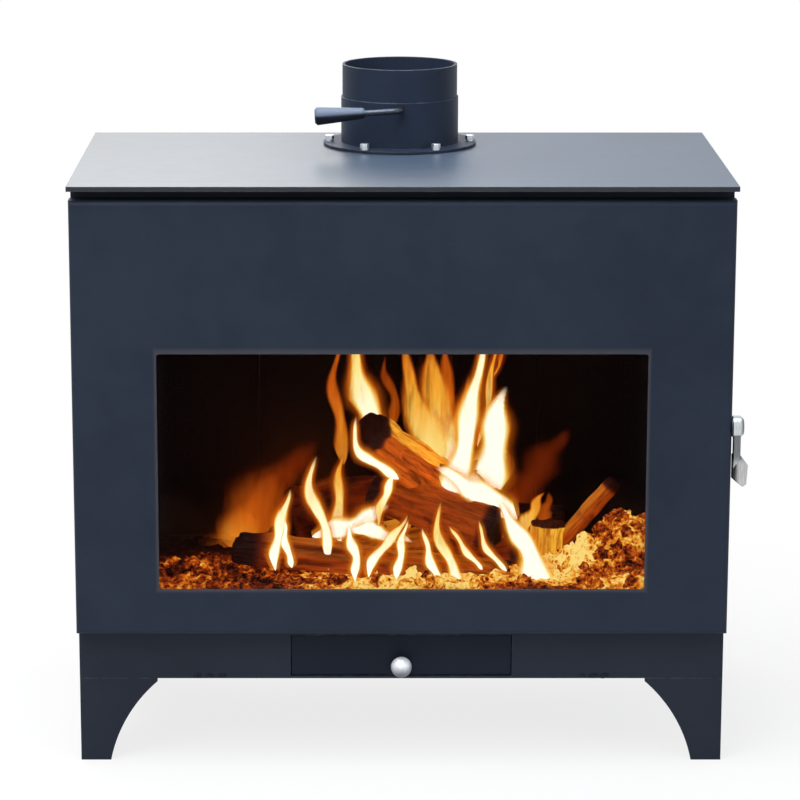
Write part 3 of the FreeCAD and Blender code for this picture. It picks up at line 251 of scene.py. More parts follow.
def worked_steel(name, dark, light, roughness, stretch, scratch_depth=0.00003, tarnish=0.25, painted_shade=None):
    """Bare or plated steel with the marks of its working, with a painted shade darkening it from one place
    along an axis to another.
    """
    f = Finish(name)
    lines = f.noise(0.0010, 3.0, stretch=stretch)
    stain = f.noise(0.018, 4.0)
    worn = f.edge(0.0008)
    tone = f.mix(lines.rise(0.3, 0.7), dark, light)
    tone = f.mix(stain.rise(0.55, 0.8) * tarnish, tone, (0.10, 0.085, 0.07))
    tone = f.mix(worn * 0.5, tone, tuple(min(1.0, c * 1.25) for c in light))
    # Painted shade: the steel is darkened along one axis.
    if painted_shade:
        axis, start, end, share = painted_shade
        tone = f.mix(f.axis(axis).rise(start, end) * share, tone, (0.060, 0.070, 0.085))
    gloss = roughness + (lines - 0.5) * 0.20 + (stain - 0.5) * 0.15
    surface = f.bump(lines, scratch_depth, f.soft_edge(0.0006))
    return f.surface(Base_Color=tone, Metallic=1.0, Roughness=gloss, Normal=surface)


# Shares of the knob's height between which the painted shade on its underside fades out, and how dark that
# painted shade is.
KNOB_SHADE_LOW, KNOB_SHADE_HIGH = 0.12, 0.85
KNOB_SHADE_DEPTH = 0.92


def polished_steel(name):
    """Turned knob, satin bright, with faint rings and fingermarks and a painted shade darkening its
    underside.
    """
    f = Finish(name)
    smear = f.noise(0.006, 4.0)
    rings = f.noise(0.0006, 2.0, stretch=(0.05, 1.0, 0.05))
    tone = f.mix(smear.rise(0.35, 0.7), (0.76, 0.79, 0.84), (0.92, 0.95, 0.99))
    low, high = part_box("drawer_knob")
    size = high.z - low.z
    # Painted shade: the knob is darkened towards its bottom.
    under = 1.0 - f.axis("Z").rise(low.z + size * KNOB_SHADE_LOW, low.z + size * KNOB_SHADE_HIGH)
    tone = f.mix(under * KNOB_SHADE_DEPTH, tone, (0.060, 0.070, 0.085))
    gloss = 0.36 + (smear - 0.5) * 0.16 + (rings - 0.5) * 0.06
    return f.surface(
        Base_Color=tone, Metallic=0.25, Roughness=gloss, Specular_IOR_Level=0.25,
        Normal=f.bump(rings, 0.000008),
    )


# Slope in degrees of the damper's crank and grip, and the height of the spindle that they start from.
CRANK_SLOPE = 3.5
SPINDLE_LEVEL = (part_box("damper_clip")[0].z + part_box("damper_clip")[1].z) / 2


def moulded_grip(name):
    """Dark moulded grip with a fine texture and a painted highlight along its top."""
    f = Finish(name)
    pores = f.noise(0.0012, 3.0)
    rub = f.noise(0.014, 3.0)
    tone = f.mix(rub.rise(0.35, 0.7), (0.006, 0.008, 0.014), (0.011, 0.014, 0.022))
    slope = math.tan(math.radians(CRANK_SLOPE))
    # Painted highlight: the grip is painted pale above the line of its axis.
    painted_highlight_top = f.axis("Z") - f.axis("X") * slope - SPINDLE_LEVEL
    tone = f.mix(painted_highlight_top.rise(-0.001, 0.003) * 0.9, tone, (0.115, 0.145, 0.200))
    gloss = 0.42 + (rub - 0.5) * 0.14 + (pores - 0.5) * 0.06
    surface = f.bump(pores, 0.000012, f.soft_edge(0.0008))
    return f.surface(Base_Color=tone, Roughness=gloss, Specular_IOR_Level=0.16, Normal=surface)


def cast_iron(name):
    """Rough grey casting with ash in its hollows."""
    f = Finish(name)
    sand = f.noise(0.0024, 5.0)
    blotch = f.noise(0.025, 4.0)
    ash = f.noise(0.04, 5.0).rise(0.50, 0.68)
    tone = f.mix(blotch.rise(0.3, 0.7), (0.018, 0.017, 0.017), (0.05, 0.047, 0.045))
    tone = f.mix(ash * 0.6, tone, (0.20, 0.18, 0.16))
    tone = f.mix(f.edge(0.0012) * 0.4, tone, (0.12, 0.11, 0.10))
    surface = f.bump(sand, 0.0004, f.soft_edge(0.0012))
    return f.surface(Base_Color=tone, Roughness=0.75 + ash * 0.2, Metallic=0.3, Normal=surface)


def sooty_brick(name):
    """Pressed fire brick, burnt pale low down and black with soot higher up."""
    f = Finish(name)
    pores = f.cells(0.0035)
    crumb = f.noise(0.002, 4.0)
    patch = f.noise(0.07, 5.0)
    soot = (f.axis("Z") * 6.0 - 1.25 + (patch - 0.5)).rise(-0.30, 0.30)
    clean = f.mix(patch.rise(0.3, 0.7), (0.040, 0.022, 0.014), (0.075, 0.045, 0.028))
    tone = f.mix(soot, clean, (0.0042, 0.0005, 0.0004))
    tone = f.mix(f.edge(0.003) * 0.2, tone, (0.004, 0.003, 0.0025))
    surface = f.bump(crumb + pores.rise(0.0, 0.25) * 0.8, 0.0006, f.soft_edge(0.002))
    return f.surface(Base_Color=tone, Roughness=0.94, Specular_IOR_Level=0.15, Normal=surface)


def stove_glass(name):
    """Clear ceramic glass with a breath of soot creeping in from its edges."""
    f = Finish(name)
    middle = (GLASS_LOW.z + GLASS_HIGH.z) / 2
    across = abs(f.axis("X")) / GLASS_HIGH.x
    up = abs((f.axis("Z") - middle) / (GLASS_HIGH.z - middle))
    drift = f.noise(0.05, 4.0)
    rim = (across ** 9.0).at_least(up ** 7.0)
    soot = (rim + (drift - 0.5) * 0.5).rise(0.35, 1.1)
    tone = f.mix(soot, (0.006, 0.006, 0.007), (0.008, 0.005, 0.004))
    return f.surface(
        Base_Color=tone, Roughness=0.06 + soot * 0.3, Specular_IOR_Level=0.2, Alpha=0.025 + soot * 0.22
    )


def glass_fibre(name, pale, dark):
    """Knitted or pressed glass fibre, greyed by smoke."""
    f = Finish(name)
    yarn = f.noise(0.0009, 3.0, stretch=(1.0, 0.35, 1.0))
    smoke = f.noise(0.05, 4.0)
    tone = f.mix(smoke.rise(0.3, 0.7), dark, pale)
    tone = f.mix(yarn.rise(0.45, 0.75) * 0.5, tone, tuple(c * 1.6 for c in pale))
    return f.surface(
        Base_Color=tone, Roughness=0.92, Specular_IOR_Level=0.2, Normal=f.bump(yarn, 0.0003)
    )


# A painted shade darkens the boss over its outer end, and the lever from one height to another.
BOSS_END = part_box("handle_boss")[1].x
BOSS_PAINTED_SHADE = ("X", BOSS_END - 0.006, BOSS_END, 0.85)
LEVER_PAINTED_SHADE = ("Z", 0.384, 0.396, 0.72)
FINISH_LIST = [
    # The body's paint is the door's paint made darker, as painted shade for the plinth and legs.
    stove_paint(
        "body_paint", (0.0072, 0.0116, 0.0225), (0.0106, 0.0160, 0.0290), roughness=0.50, specular=0.20
    ),
    stove_paint(
        "door_paint", (0.0132, 0.0192, 0.0332), (0.0174, 0.0242, 0.0404), roughness=0.48, specular=0.12,
        window=True,
    ),
    stove_paint(
        "drawer_paint", (0.0038, 0.0072, 0.0165), (0.0058, 0.0098, 0.0205), roughness=0.52, specular=0.15
    ),
    # The top plate's paint is painted lighter than the body's as a painted sheen, and its upright sides
    # darker as painted shade.
    stove_paint(
        "top_paint", (0.0330, 0.0500, 0.0790), (0.0390, 0.0580, 0.0890), roughness=0.41, specular=0.48,
        grain_depth=0.000012, unevenness=0.3, painted_shade_sides=(0.0030, 0.0055, 0.0105),
    ),
    stove_paint(
        "collar_paint", (0.0082, 0.0142, 0.0290), (0.0122, 0.0202, 0.0385), roughness=0.52, specular=0.16,
        grain_depth=0.00012,
    ),
    worked_steel(
        "zinc_steel", (0.78, 0.82, 0.88), (0.93, 0.96, 0.99), roughness=0.36, stretch=(1.0, 1.0, 0.2),
        scratch_depth=0.00002, tarnish=0.12,
    ),
    worked_steel(
        "bare_steel", (0.035, 0.042, 0.055), (0.075, 0.088, 0.11), roughness=0.42, stretch=(0.15, 1.0, 1.0)
    ),
    worked_steel(
        "plate_steel", (0.07, 0.07, 0.075), (0.13, 0.13, 0.135), roughness=0.55, stretch=(0.1, 1.0, 1.0),
        scratch_depth=0.00005, tarnish=0.6,
    ),
    polished_steel("polished_steel"),
    worked_steel(
        "boss_steel", (0.48, 0.52, 0.54), (0.64, 0.68, 0.70), roughness=0.22, stretch=(1.0, 0.2, 0.2),
        scratch_depth=0.000004, tarnish=0.03, painted_shade=BOSS_PAINTED_SHADE,
    ),
    worked_steel(
        "handle_steel", (0.40, 0.40, 0.40), (0.56, 0.555, 0.55), roughness=0.42, stretch=(1.0, 1.0, 0.1),
        scratch_depth=0.00002, tarnish=0.15, painted_shade=LEVER_PAINTED_SHADE,
    ),
    moulded_grip("grip_plastic"),
    cast_iron("grate_iron"),
    sooty_brick("fire_brick"),
    stove_glass("door_glass"),
    glass_fibre("glass_fibre", (0.085, 0.085, 0.085), (0.032, 0.032, 0.033)),
]
FINISHES = {finish.name: finish for finish in FINISH_LIST}

for subpart in frame["record"]["subparts"]:
    node = frame["nodes"][subpart["node"]]
    for material_slot in node.material_slots:
        material_slot.material = FINISHES[subpart["material_slot"]].material

# Modelling helpers


def deselect():
    bpy.ops.object.select_all(action="DESELECT")


def only(piece):
    """Makes a piece the one that operators act on."""
    deselect()
    piece.select_set(True)
    bpy.context.view_layer.objects.active = piece


def set_place(piece):
    """Puts a piece's place, turn and scale into its mesh."""
    only(piece)
    bpy.ops.object.transform_apply(location=True, rotation=True, scale=True)


def apply_modifier(piece, kind, **settings):
    only(piece)
    modifier = piece.modifiers.new(kind, kind)
    for key, value in settings.items():
        setattr(modifier, key, value)
    bpy.ops.object.modifier_apply(modifier=modifier.name)


def roughen(piece, texture, strength, **settings):
    """Moves a piece's surface in and out, or along an axis, by a texture."""
    apply_modifier(piece, "DISPLACE", texture=texture, strength=strength, **settings)


def choose_faces(piece, test):
    """Goes into edit mode with the faces selected that pass a test."""
    only(piece)
    bpy.ops.object.mode_set(mode="EDIT")
    bpy.ops.mesh.select_mode(type="FACE")
    bpy.ops.mesh.select_all(action="DESELECT")
    bpy.ops.object.mode_set(mode="OBJECT")
    for face in piece.data.polygons:
        face.select = test(face)
    bpy.ops.object.mode_set(mode="EDIT")


def edit_all(piece, operator, **settings):
    """Runs one operator of edit mode on the whole of a piece."""
    choose_faces(piece, lambda face: True)
    operator(**settings)
    bpy.ops.object.mode_set(mode="OBJECT")


def new_mesh(add, **settings):
    """A new mesh of a plain shape."""
    deselect()
    add(**settings)
    return bpy.context.object


def in_scene(name, data):
    """A new piece with some data, put into the scene."""
    piece = bpy.data.objects.new(name, data)
    bpy.context.scene.collection.objects.link(piece)
    return piece


def join(pieces):
    """Several meshes made one."""
    deselect()
    for piece in pieces:
        piece.select_set(True)
    bpy.context.view_layer.objects.active = pieces[0]
    bpy.ops.object.join()
    return bpy.context.object


def new_curve(name, kind, spots, **settings):
    """A curve through some spots, as a piece in the scene, and its line."""
    curve = bpy.data.curves.new(name, "CURVE")
    curve.dimensions = "3D"
    for key, value in settings.items():
        setattr(curve, key, value)
    line = curve.splines.new(kind)
    line.points.add(len(spots) - 1)
    for point, spot in zip(line.points, spots):
        point.co = (*spot, 1.0)
    return in_scene(name, curve), line


def as_mesh(piece):
    """The mesh that a curve makes."""
    only(piece)
    bpy.ops.object.convert(target="MESH")
    return bpy.context.object


def store(piece, name, numbers, kind="FLOAT"):
    """Keeps one value for each vertex under a name."""
    kept = piece.data.attributes.new(name, kind, "POINT")
    kept.data.foreach_set("vector" if kind == "FLOAT_VECTOR" else "value", numbers)


def clouds(name, size):
    """A cloudy texture that roughens a mesh."""
    texture = bpy.data.textures.new(name, "CLOUDS")
    texture.noise_scale = size
    texture.noise_depth = 2
    return texture


def dress(piece, name, finish, body, smooth=40.0):
    """Names a finished piece, gives it its finish and sets it on its body."""
    piece.name = piece.data.name = name
    piece.data.materials.clear()
    piece.data.materials.append(finish.material)
    set_place(piece)
    bpy.ops.object.shade_smooth_by_angle(angle=math.radians(smooth))
    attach(piece, body)


# Seals

ROPE_RADIUS = 0.005
ROPE_BEND = 0.020
STRAND_RADIUS = 0.0027
STRAND_ORBIT = 0.0022
ROPE_LAY = 0.026
ROPE_STRANDS = 3
STEPS_A_TURN = 10


def rope_line():
    """Points along the middle of the door's rope, read from its smooth route."""
    low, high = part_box("door_rope")
    left, right = low.x + ROPE_RADIUS, high.x - ROPE_RADIUS
    bottom, top = low.z + ROPE_RADIUS, high.z - ROPE_RADIUS
    middle = (low.y + high.y) / 2
    run = 2 * ROPE_BEND
    corners = [
        ((left, bottom), (0, 1), (1, 0)),
        ((right, bottom), (-1, 0), (0, 1)),
        ((right, top), (0, -1), (-1, 0)),
        ((left, top), (1, 0), (0, -1)),
    ]
    route = []
    for (x, z), before, after in corners:
        for way in (before, (0, 0), after):
            route.append((x + way[0] * run, middle, z + way[1] * run))
    piece, line = new_curve("rope_route", "NURBS", route, resolution_u=24)
    line.order_u = 3
    line.use_cyclic_u = True
    mesh = as_mesh(piece)
    points = [vertex.co.copy() for vertex in mesh.data.vertices]
    bpy.data.objects.remove(mesh)
    return points


def even_points(points, step):
    """Points at even steps along a closed line, with the direction there."""
    ends = points[1:] + points[:1]
    lengths = [(b - a).length for a, b in zip(points, ends)]
    whole = sum(lengths)
    count = round(whole / step)
    found, index, passed = [], 0, 0.0
    for number in range(count):
        target = whole * number / count
        while passed + lengths[index] < target:
            passed += lengths[index]
            index += 1
        a, b = points[index], ends[index]
        share = (target - passed) / lengths[index]
        found.append((a.lerp(b, share), (b - a).normalized()))
    return found, whole


def make_rope():
    """Three-strand rope seal laid into the door's channel."""
    line, whole = even_points(rope_line(), ROPE_LAY / STEPS_A_TURN)
    turns = round(whole / ROPE_LAY)
    back = Vector((0, 1, 0))
    strands = []
    for strand in range(ROPE_STRANDS):
        spots = []
        for number, (point, direction) in enumerate(line):
            angle = 2 * math.pi * (turns * number / len(line) + strand / ROPE_STRANDS)
            out = direction.cross(back)
            spots.append(point + (out * math.cos(angle) + back * math.sin(angle)) * STRAND_ORBIT)
        piece, strand_line = new_curve(
            "rope_strand", "POLY", spots, resolution_u=1, bevel_depth=STRAND_RADIUS, bevel_resolution=2
        )
        strand_line.use_cyclic_u = True
        strands.append(as_mesh(piece))
    rope = join(strands)
    dress(rope, "rope_seal", FINISHES["glass_fibre"], "door", 80.0)
    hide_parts("door_rope")


def open_middle(piece, axis, width, ease):
    """Opens the middle of a flat piece, leaving a ring of a width, and eases its edges."""
    choose_faces(piece, lambda face: abs(face.normal[axis]) > 0.9)
    bpy.ops.mesh.inset(thickness=width, use_even_offset=True)
    bpy.ops.mesh.bridge_edge_loops()
    bpy.ops.mesh.select_all(action="SELECT")
    bpy.ops.mesh.normals_make_consistent(inside=False)
    bpy.ops.object.mode_set(mode="OBJECT")
    apply_modifier(
        piece, "BEVEL", width=ease, segments=2, limit_method="ANGLE", angle_limit=math.radians(50)
    )


GASKET_WIDTH = 0.020
GASKET_EASE = 0.0003
FRAY = 0.00035
TAPE_EASE = 0.0005
TAPE_REVEAL = 0.001


def make_gasket():
    """Pressed fibre ring under the flue collar's flange, its edge a little frayed."""
    low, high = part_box("collar_gasket")
    ring = new_mesh(
        bpy.ops.mesh.primitive_cylinder_add, vertices=180, radius=(high.x - low.x) / 2 - FRAY,
        depth=high.z - low.z, end_fill_type="NGON", location=(low + high) / 2,
    )
    open_middle(ring, 2, GASKET_WIDTH - FRAY, GASKET_EASE)
    set_place(ring)
    roughen(ring, clouds("gasket_fray", 0.004), FRAY, mid_level=0.9, direction="X")
    dress(ring, "pressed_gasket", FINISHES["glass_fibre"], "stove")
    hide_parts("collar_gasket")


def make_tape():
    """Flat tape that beds the glass against the door."""
    low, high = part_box("glass_tape")
    tape = new_mesh(bpy.ops.mesh.primitive_cube_add, size=1.0, location=(low + high) / 2, scale=high - low)
    set_place(tape)
    open_middle(tape, 1, high.x - WINDOW_HALF - TAPE_REVEAL, TAPE_EASE)
    dress(tape, "bedding_tape", FINISHES["glass_fibre"], "door")
    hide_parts("glass_tape")


make_rope()
make_gasket()
make_tape()

# Fire

MILLIMETRE = 0.001
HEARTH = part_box("floor_bricks")[1].z


def burning_wood(name):
    """Split wood on fire: grain along the log, charred ends, and painted firelight from the flames, orange
    on its sides and golden where it faces up.
    """
    f = Finish(name)
    spot = f.attribute("grain", "Vector")
    fibres = f.noise(0.010, 5.0, spot, (0.12, 1.0, 1.0), 0.6)
    fine = f.noise(0.0022, 3.0, spot, (0.06, 1.0, 1.0))
    patch = f.noise(0.035, 3.0, spot)
    end = f.attribute("to_end").rise(0.74, 0.88)
    char = ((patch - 0.5) * 1.6 + f.attribute("char")).rise(0.25, 0.75)
    char = char.at_least(end)
    up = f.facing_up().rise(0.12, 0.58)
    wood = f.mix(fibres.rise(0.3, 0.7), (0.040, 0.007, 0.0015), (0.13, 0.026, 0.005))
    wood = f.mix(fine.rise(0.4, 0.7) * 0.5, wood, (0.07, 0.015, 0.003))
    burnt = f.mix(fine.rise(0.35, 0.7), (0.005, 0.003, 0.003), (0.030, 0.010, 0.006))
    tone = f.mix(char, wood, burnt)
    # Painted firelight: light from the flames falling on the wood, stronger where it faces up, together with
    # the wood's own glow.
    glow = f.attribute("glow")
    golden = (up * glow.rise(0.50, 1.05)).at_least(glow - 1.0)
    side_lit = f.mix(fibres.rise(0.32, 0.60), (0.10, 0.009, 0.0005), (0.66, 0.090, 0.004))
    top_lit = f.mix(fibres.rise(0.30, 0.58), (0.52, 0.130, 0.004), (0.98, 0.48, 0.035))
    lit = f.mix(fine.rise(0.35, 0.65) * 0.40, f.mix(golden, side_lit, top_lit), (0.12, 0.016, 0.001))
    share = glow * (1.0 - char * 0.95)
    lit = f.mix(share.rise(0.15, 0.85), (0.22, 0.014, 0.001), lit)
    light = f.mix(share, (0.0, 0.0, 0.0), lit)
    surface = f.bump(fibres + fine * 0.4, 0.004)
    return f.surface(
        Base_Color=tone, Roughness=0.85, Specular_IOR_Level=0.15, Normal=surface,
        Emission_Color=light, Emission_Strength=1.0,
    )


# Colours from cool to hot, each with its place on the way.
EMBER_COLOURS = [
    (0.0, (0.004, 0.001, 0.0006)),
    (0.24, (0.10, 0.010, 0.0015)),
    (0.44, (0.34, 0.044, 0.003)),
    (0.62, (0.64, 0.155, 0.009)),
    (0.80, (0.90, 0.44, 0.045)),
    (1.0, (0.98, 0.70, 0.20)),
]


def ember_crust(name):
    """Crumbling coals: dark crust with a golden glow breaking through."""
    f = Finish(name)
    crumb = f.noise(0.009, 6.0, roughness=0.68)
    patch = f.noise(0.040, 3.0)
    pits = f.cells(0.006).rise(0.05, 0.45)
    heat = f.attribute("fire_heat")
    crust = f.mix(crumb.rise(0.35, 0.65), (0.004, 0.002, 0.0015), (0.06, 0.020, 0.006))
    crust = f.mix(heat.rise(0.05, 0.5), (0.002, 0.0012, 0.001), crust)
    uneven = (crumb - 0.5) * 2.3 + (patch - 0.5) * 1.4 - (1.0 - pits) * 0.32
    level = heat * 0.66 + uneven * heat.rise(0.05, 0.45)
    glow = f.ramp(level, EMBER_COLOURS)
    surface = f.bump(crumb + pits * 0.5, 0.006)
    return f.surface(
        Base_Color=crust, Roughness=0.95, Specular_IOR_Level=0.1, Normal=surface,
        Emission_Color=glow, Emission_Strength=1.0,
    )


FLAME_COLOURS = [
    (0.0, (0.010, 0.001, 0.0002)),
    (0.22, (0.13, 0.0130, 0.0007)),
    (0.42, (0.46, 0.085, 0.004)),
    (0.60, (0.62, 0.27, 0.022)),
    (0.78, (0.66, 0.52, 0.16)),
    (0.93, (0.80, 0.74, 0.58)),
]


def flame_light(name):
    """Flame: white at its heart, yellow round it, thin and orange where it cools."""
    f = Finish(name)
    along, heat, soft = f.attribute("along"), f.attribute("fire_heat"), f.attribute("soft")
    core = 1.0 - abs(f.attribute("across"))
    lick = f.noise(0.010, 2.0, stretch=(1.0, 1.0, 0.18)) - 0.5
    crisp = (core + lick * 0.70).rise(0.0, 0.60)
    hazy = (core + lick * 0.15).rise(0.0, 1.1) * 0.55
    ends = along.rise(0.0, 0.12) * (1.0 - along.rise(0.84, 1.0))
    streaks = f.noise(0.007, 3.0, stretch=(1.0, 1.0, 0.10)).rise(0.36, 0.58)
    veil = 1.0 - (1.0 - heat).rise(0.0, 0.45) * (1.0 - streaks) * (0.85 - soft * 0.70)
    cover = (crisp + (hazy - crisp) * soft) * ends * veil
    cool = (1.0 - heat) * lick * (0.9 - soft * 0.7)
    warmth = heat * (0.46 + core.rise(0.02, 0.55) * 0.54) + cool
    tone = f.ramp(warmth, FLAME_COLOURS)
    return f.surface(
        Base_Color=(0.0, 0.0, 0.0), Roughness=1.0, Specular_IOR_Level=0.0, Alpha=cover,
        Emission_Color=tone, Emission_Strength=1.6,
    )


WOOD = burning_wood("burning_wood")
EMBERS = ember_crust("ember_crust")
FLAME = flame_light("flame_light")

LOG_LUMPS = clouds("log_lumps", 0.045)
LOG_SPLINTERS = clouds("log_splinters", 0.012)
LOG_CUTS = 9
# A log's top starts at this share of its height over its middle, and keeps so much of its length and width.
LOG_TOP_START = 0.3
LOG_TOP = (0.97, 0.62, 1.0)
# How far a log is lumpy and splintered, in shares of its height.
LUMP_SHARE = 0.30
SPLINTER_SHARE = 0.12
# How far the grain of one log lies from that of another, for each metre between them.
GRAIN_SHIFT = 3.0


def fire_log(start, end, width, height, roll, char, glow):
    """A split log between two points, narrower on top, lumpy and splintered."""
    start, end = Vector(start), Vector(end)
    run = end - start
    log = new_mesh(bpy.ops.mesh.primitive_cube_add, size=1.0, scale=(run.length, width, height))
    set_place(log)
    edit_all(log, bpy.ops.mesh.subdivide, number_cuts=LOG_CUTS)
    choose_faces(log, lambda face: face.center.z > height * LOG_TOP_START)
    bpy.ops.transform.resize(value=LOG_TOP, center_override=(0, 0, height / 2))
    bpy.ops.object.mode_set(mode="OBJECT")
    log.location = (start + end) / 2
    log.rotation_mode = "QUATERNION"
    log.rotation_quaternion = run.to_track_quat("X", "Z") @ Quaternion((1, 0, 0), math.radians(roll))
    apply_modifier(log, "SUBSURF", levels=1, render_levels=1)
    for texture, share in ((LOG_LUMPS, LUMP_SHARE), (LOG_SPLINTERS, SPLINTER_SHARE)):
        roughen(log, texture, height * share, texture_coords="GLOBAL")
    places = [v.co.copy() for v in log.data.vertices]
    store(log, "grain", [c for p in places for c in (p + log.location * GRAIN_SHIFT)], "FLOAT_VECTOR")
    store(log, "to_end", [abs(p.x) / (run.length / 2) for p in places])
    store(log, "char", [char] * len(places))
    store(log, "glow", [glow] * len(places))
    set_place(log)
    return log


# From one end to the other, then width, height, roll in degrees, how far it is charred, and its glow, which
# is painted firelight from the flames together with the wood's own glow.
LOGS = [
    ((-0.042, -0.035, 0.385), (0.080, 0.060, 0.276), 0.050, 0.046, 46, -0.42, 1.05),
    ((-0.030, 0.040, 0.288), (0.126, -0.026, 0.252), 0.060, 0.054, -12, -0.05, 0.60),
    ((-0.212, -0.046, 0.236), (0.156, -0.040, 0.190), 0.038, 0.034, 8, -0.12, 0.66),
    ((-0.150, 0.085, 0.252), (0.000, 0.080, 0.270), 0.050, 0.044, 25, 0.45, 0.36),
    ((0.020, 0.110, 0.220), (0.220, 0.104, 0.222), 0.056, 0.052, 5, 0.60, 0.26),
    ((0.187, 0.012, 0.186), (0.191, 0.018, 0.250), 0.040, 0.038, 40, -0.60, 2.00),
    ((0.193, 0.042, 0.199), (0.278, 0.042, 0.299), 0.022, 0.015, 30, 0.10, 0.72),
    ((-0.120, -0.010, 0.206), (0.080, 0.030, 0.226), 0.044, 0.040, -20, 0.05, 0.66),
    ((0.060, -0.062, 0.184), (0.165, -0.052, 0.192), 0.030, 0.026, 12, -0.10, 0.66),
    ((0.040, -0.012, 0.206), (0.150, -0.005, 0.212), 0.046, 0.042, 15, 0.30, 0.40),
    ((-0.168, 0.045, 0.206), (-0.128, 0.125, 0.210), 0.044, 0.036, 10, 0.55, 0.25),
]


def make_logs():
    """The stack of burning logs."""
    logs = [fire_log(*log) for log in LOGS]
    dress(join(logs), "fire_logs", WOOD, "stove", smooth=55.0)


# Middle, reach to the side and to the back, height, and heat of each heap of coals.
HEAPS = [
    ((0.295, 0.030), (0.068, 0.070), 0.062, 1.12),
    ((0.236, -0.010), (0.046, 0.050), 0.036, 1.62),
    ((0.180, -0.040), (0.060, 0.050), 0.014, 2.00),
    ((-0.262, -0.025), (0.085, 0.050), 0.014, 0.68),
    ((-0.180, -0.015), (0.080, 0.050), 0.014, 0.90),
    ((0.040, -0.045), (0.165, 0.060), 0.010, 1.80),
    ((0.120, 0.040), (0.120, 0.060), 0.016, 1.00),
    ((0.275, -0.078), (0.090, 0.042), 0.008, 1.25),
    ((-0.270, -0.078), (0.090, 0.042), 0.008, 0.66),
    ((0.012, -0.096), (0.130, 0.036), 0.007, 1.60),
]
# How quickly a heap's height and its heat fall off away from its middle.
HEIGHT_FALL = 1.6
HEAT_FALL = 0.9
BED_HALF_WIDTH = 0.350
BED_FRONT, BED_REAR = -0.118, 0.150
BED_DEPTH = 0.006
BED_CELLS = (150, 60)
BED_LUMPS = 0.016
BED_CRUMBS = 0.015
# Width of the bed's front rim, the share of its thickness there, its least height and that of its foot.
RIM_WIDTH = 0.022
RIM_THIN = 0.12
BED_LEAST = 0.0010
BED_FOOT = 0.0002
# The rim's line: how far in it starts and how far it wanders, in rim widths, its two waves, in radians for
# each metre, and how strong the second is.
RIM_START = 0.42
RIM_WANDER = 0.25
RIM_WAVES = (41.0, 97.0)
RIM_SECOND_WAVE = 0.7


def heap_share(x, y, heap, fall):
    """What is left of a heap at a spot: 1 in its middle, less away from it."""
    (middle_x, middle_y), (reach_x, reach_y) = heap[:2]
    away = ((x - middle_x) / reach_x) ** 2 + ((y - middle_y) / reach_y) ** 2
    return math.exp(-fall * away)


def heap_height(x, y):
    """Height of the coals over the bed at a spot."""
    return max(heap[2] * heap_share(x, y, heap, HEIGHT_FALL) for heap in HEAPS)


def heap_heat(x, y):
    """How hot the coals are at a spot."""
    return max(heap[3] * heap_share(x, y, heap, HEAT_FALL) for heap in HEAPS)


def bed_fullness(x, y):
    """Share of the bed's thickness at a spot: thin and uneven along its front, whole behind."""
    waves = math.sin(RIM_WAVES[0] * x) + RIM_SECOND_WAVE * math.sin(RIM_WAVES[1] * x + 1.0)
    inside = (y - BED_FRONT) / RIM_WIDTH - RIM_START + RIM_WANDER * waves
    inside = max(0.0, min(1.0, inside))
    return RIM_THIN + (1.0 - RIM_THIN) * inside * inside * (3.0 - 2.0 * inside)


def make_ember_bed():
    """Bed of ash and small coals, heaped at the right and under the logs."""
    bed = new_mesh(
        bpy.ops.mesh.primitive_grid_add, x_subdivisions=BED_CELLS[0], y_subdivisions=BED_CELLS[1], size=1.0,
        location=(0.0, (BED_FRONT + BED_REAR) / 2, HEARTH + BED_DEPTH),
    )
    bed.scale = (2 * BED_HALF_WIDTH, BED_REAR - BED_FRONT, 1.0)
    set_place(bed)
    for vertex in bed.data.vertices:
        vertex.co.z += heap_height(vertex.co.x, vertex.co.y)
    for name, size, strength in (("bed_lumps", 0.035, BED_LUMPS), ("bed_crumbs", 0.009, BED_CRUMBS)):
        roughen(bed, clouds(name, size), strength, direction="Z")
    for vertex in bed.data.vertices:
        over = vertex.co.z - HEARTH
        vertex.co.z = HEARTH + max(BED_LEAST, over * bed_fullness(vertex.co.x, vertex.co.y))
    choose_faces(bed, lambda face: True)
    bpy.ops.mesh.extrude_region_move(TRANSFORM_OT_translate={"value": (0, 0, -BED_DEPTH)})
    bpy.ops.transform.resize(value=(1, 1, 0), center_override=(0, 0, HEARTH + BED_FOOT))
    bpy.ops.mesh.select_all(action="SELECT")
    bpy.ops.mesh.normals_make_consistent(inside=False)
    bpy.ops.object.mode_set(mode="OBJECT")
    heat = [heap_heat(v.co.x, v.co.y) for v in bed.data.vertices]
    store(bed, "fire_heat", heat)
    dress(bed, "ember_bed", EMBERS, "stove", smooth=50.0)


COAL_SEED = 7
# Coals for each metre of a heap's mean reach, times a share that grows by so much with each metre of height.
COALS_A_REACH = 420
COALS_LEAST = 0.5
COALS_A_HEIGHT = 10
COAL_RADII = (0.004, 0.012)
COAL_SHAPE = (1.0, 0.8, 0.65)
# How far out on its heap a coal may lie, how evenly coals spread, and how far one stands up, in radii.
COAL_SPREAD = 0.95
COAL_EVENNESS = 0.6
COAL_STANDS = 0.35
COAL_HEATS = (0.50, 1.05)
# How far a coal may be turned about each axis, in radians.
COAL_TURN = 6.3


def broken_coal():
    """One lump of coal, a metre in radius, flattened, broken and crusted."""
    lump = new_mesh(bpy.ops.mesh.primitive_ico_sphere_add, subdivisions=3, radius=1.0)
    edit_all(lump, bpy.ops.transform.resize, value=COAL_SHAPE)
    roughen(lump, clouds("coal_breaks", 0.9), 1.1)
    roughen(lump, clouds("coal_crust", 0.30), 0.55)
    return lump


def on_bed(x, y, margin):
    """Whether a spot lies on the bed, a margin in from its edge."""
    return abs(x) <= BED_HALF_WIDTH - margin and BED_FRONT + margin < y < BED_REAR - margin


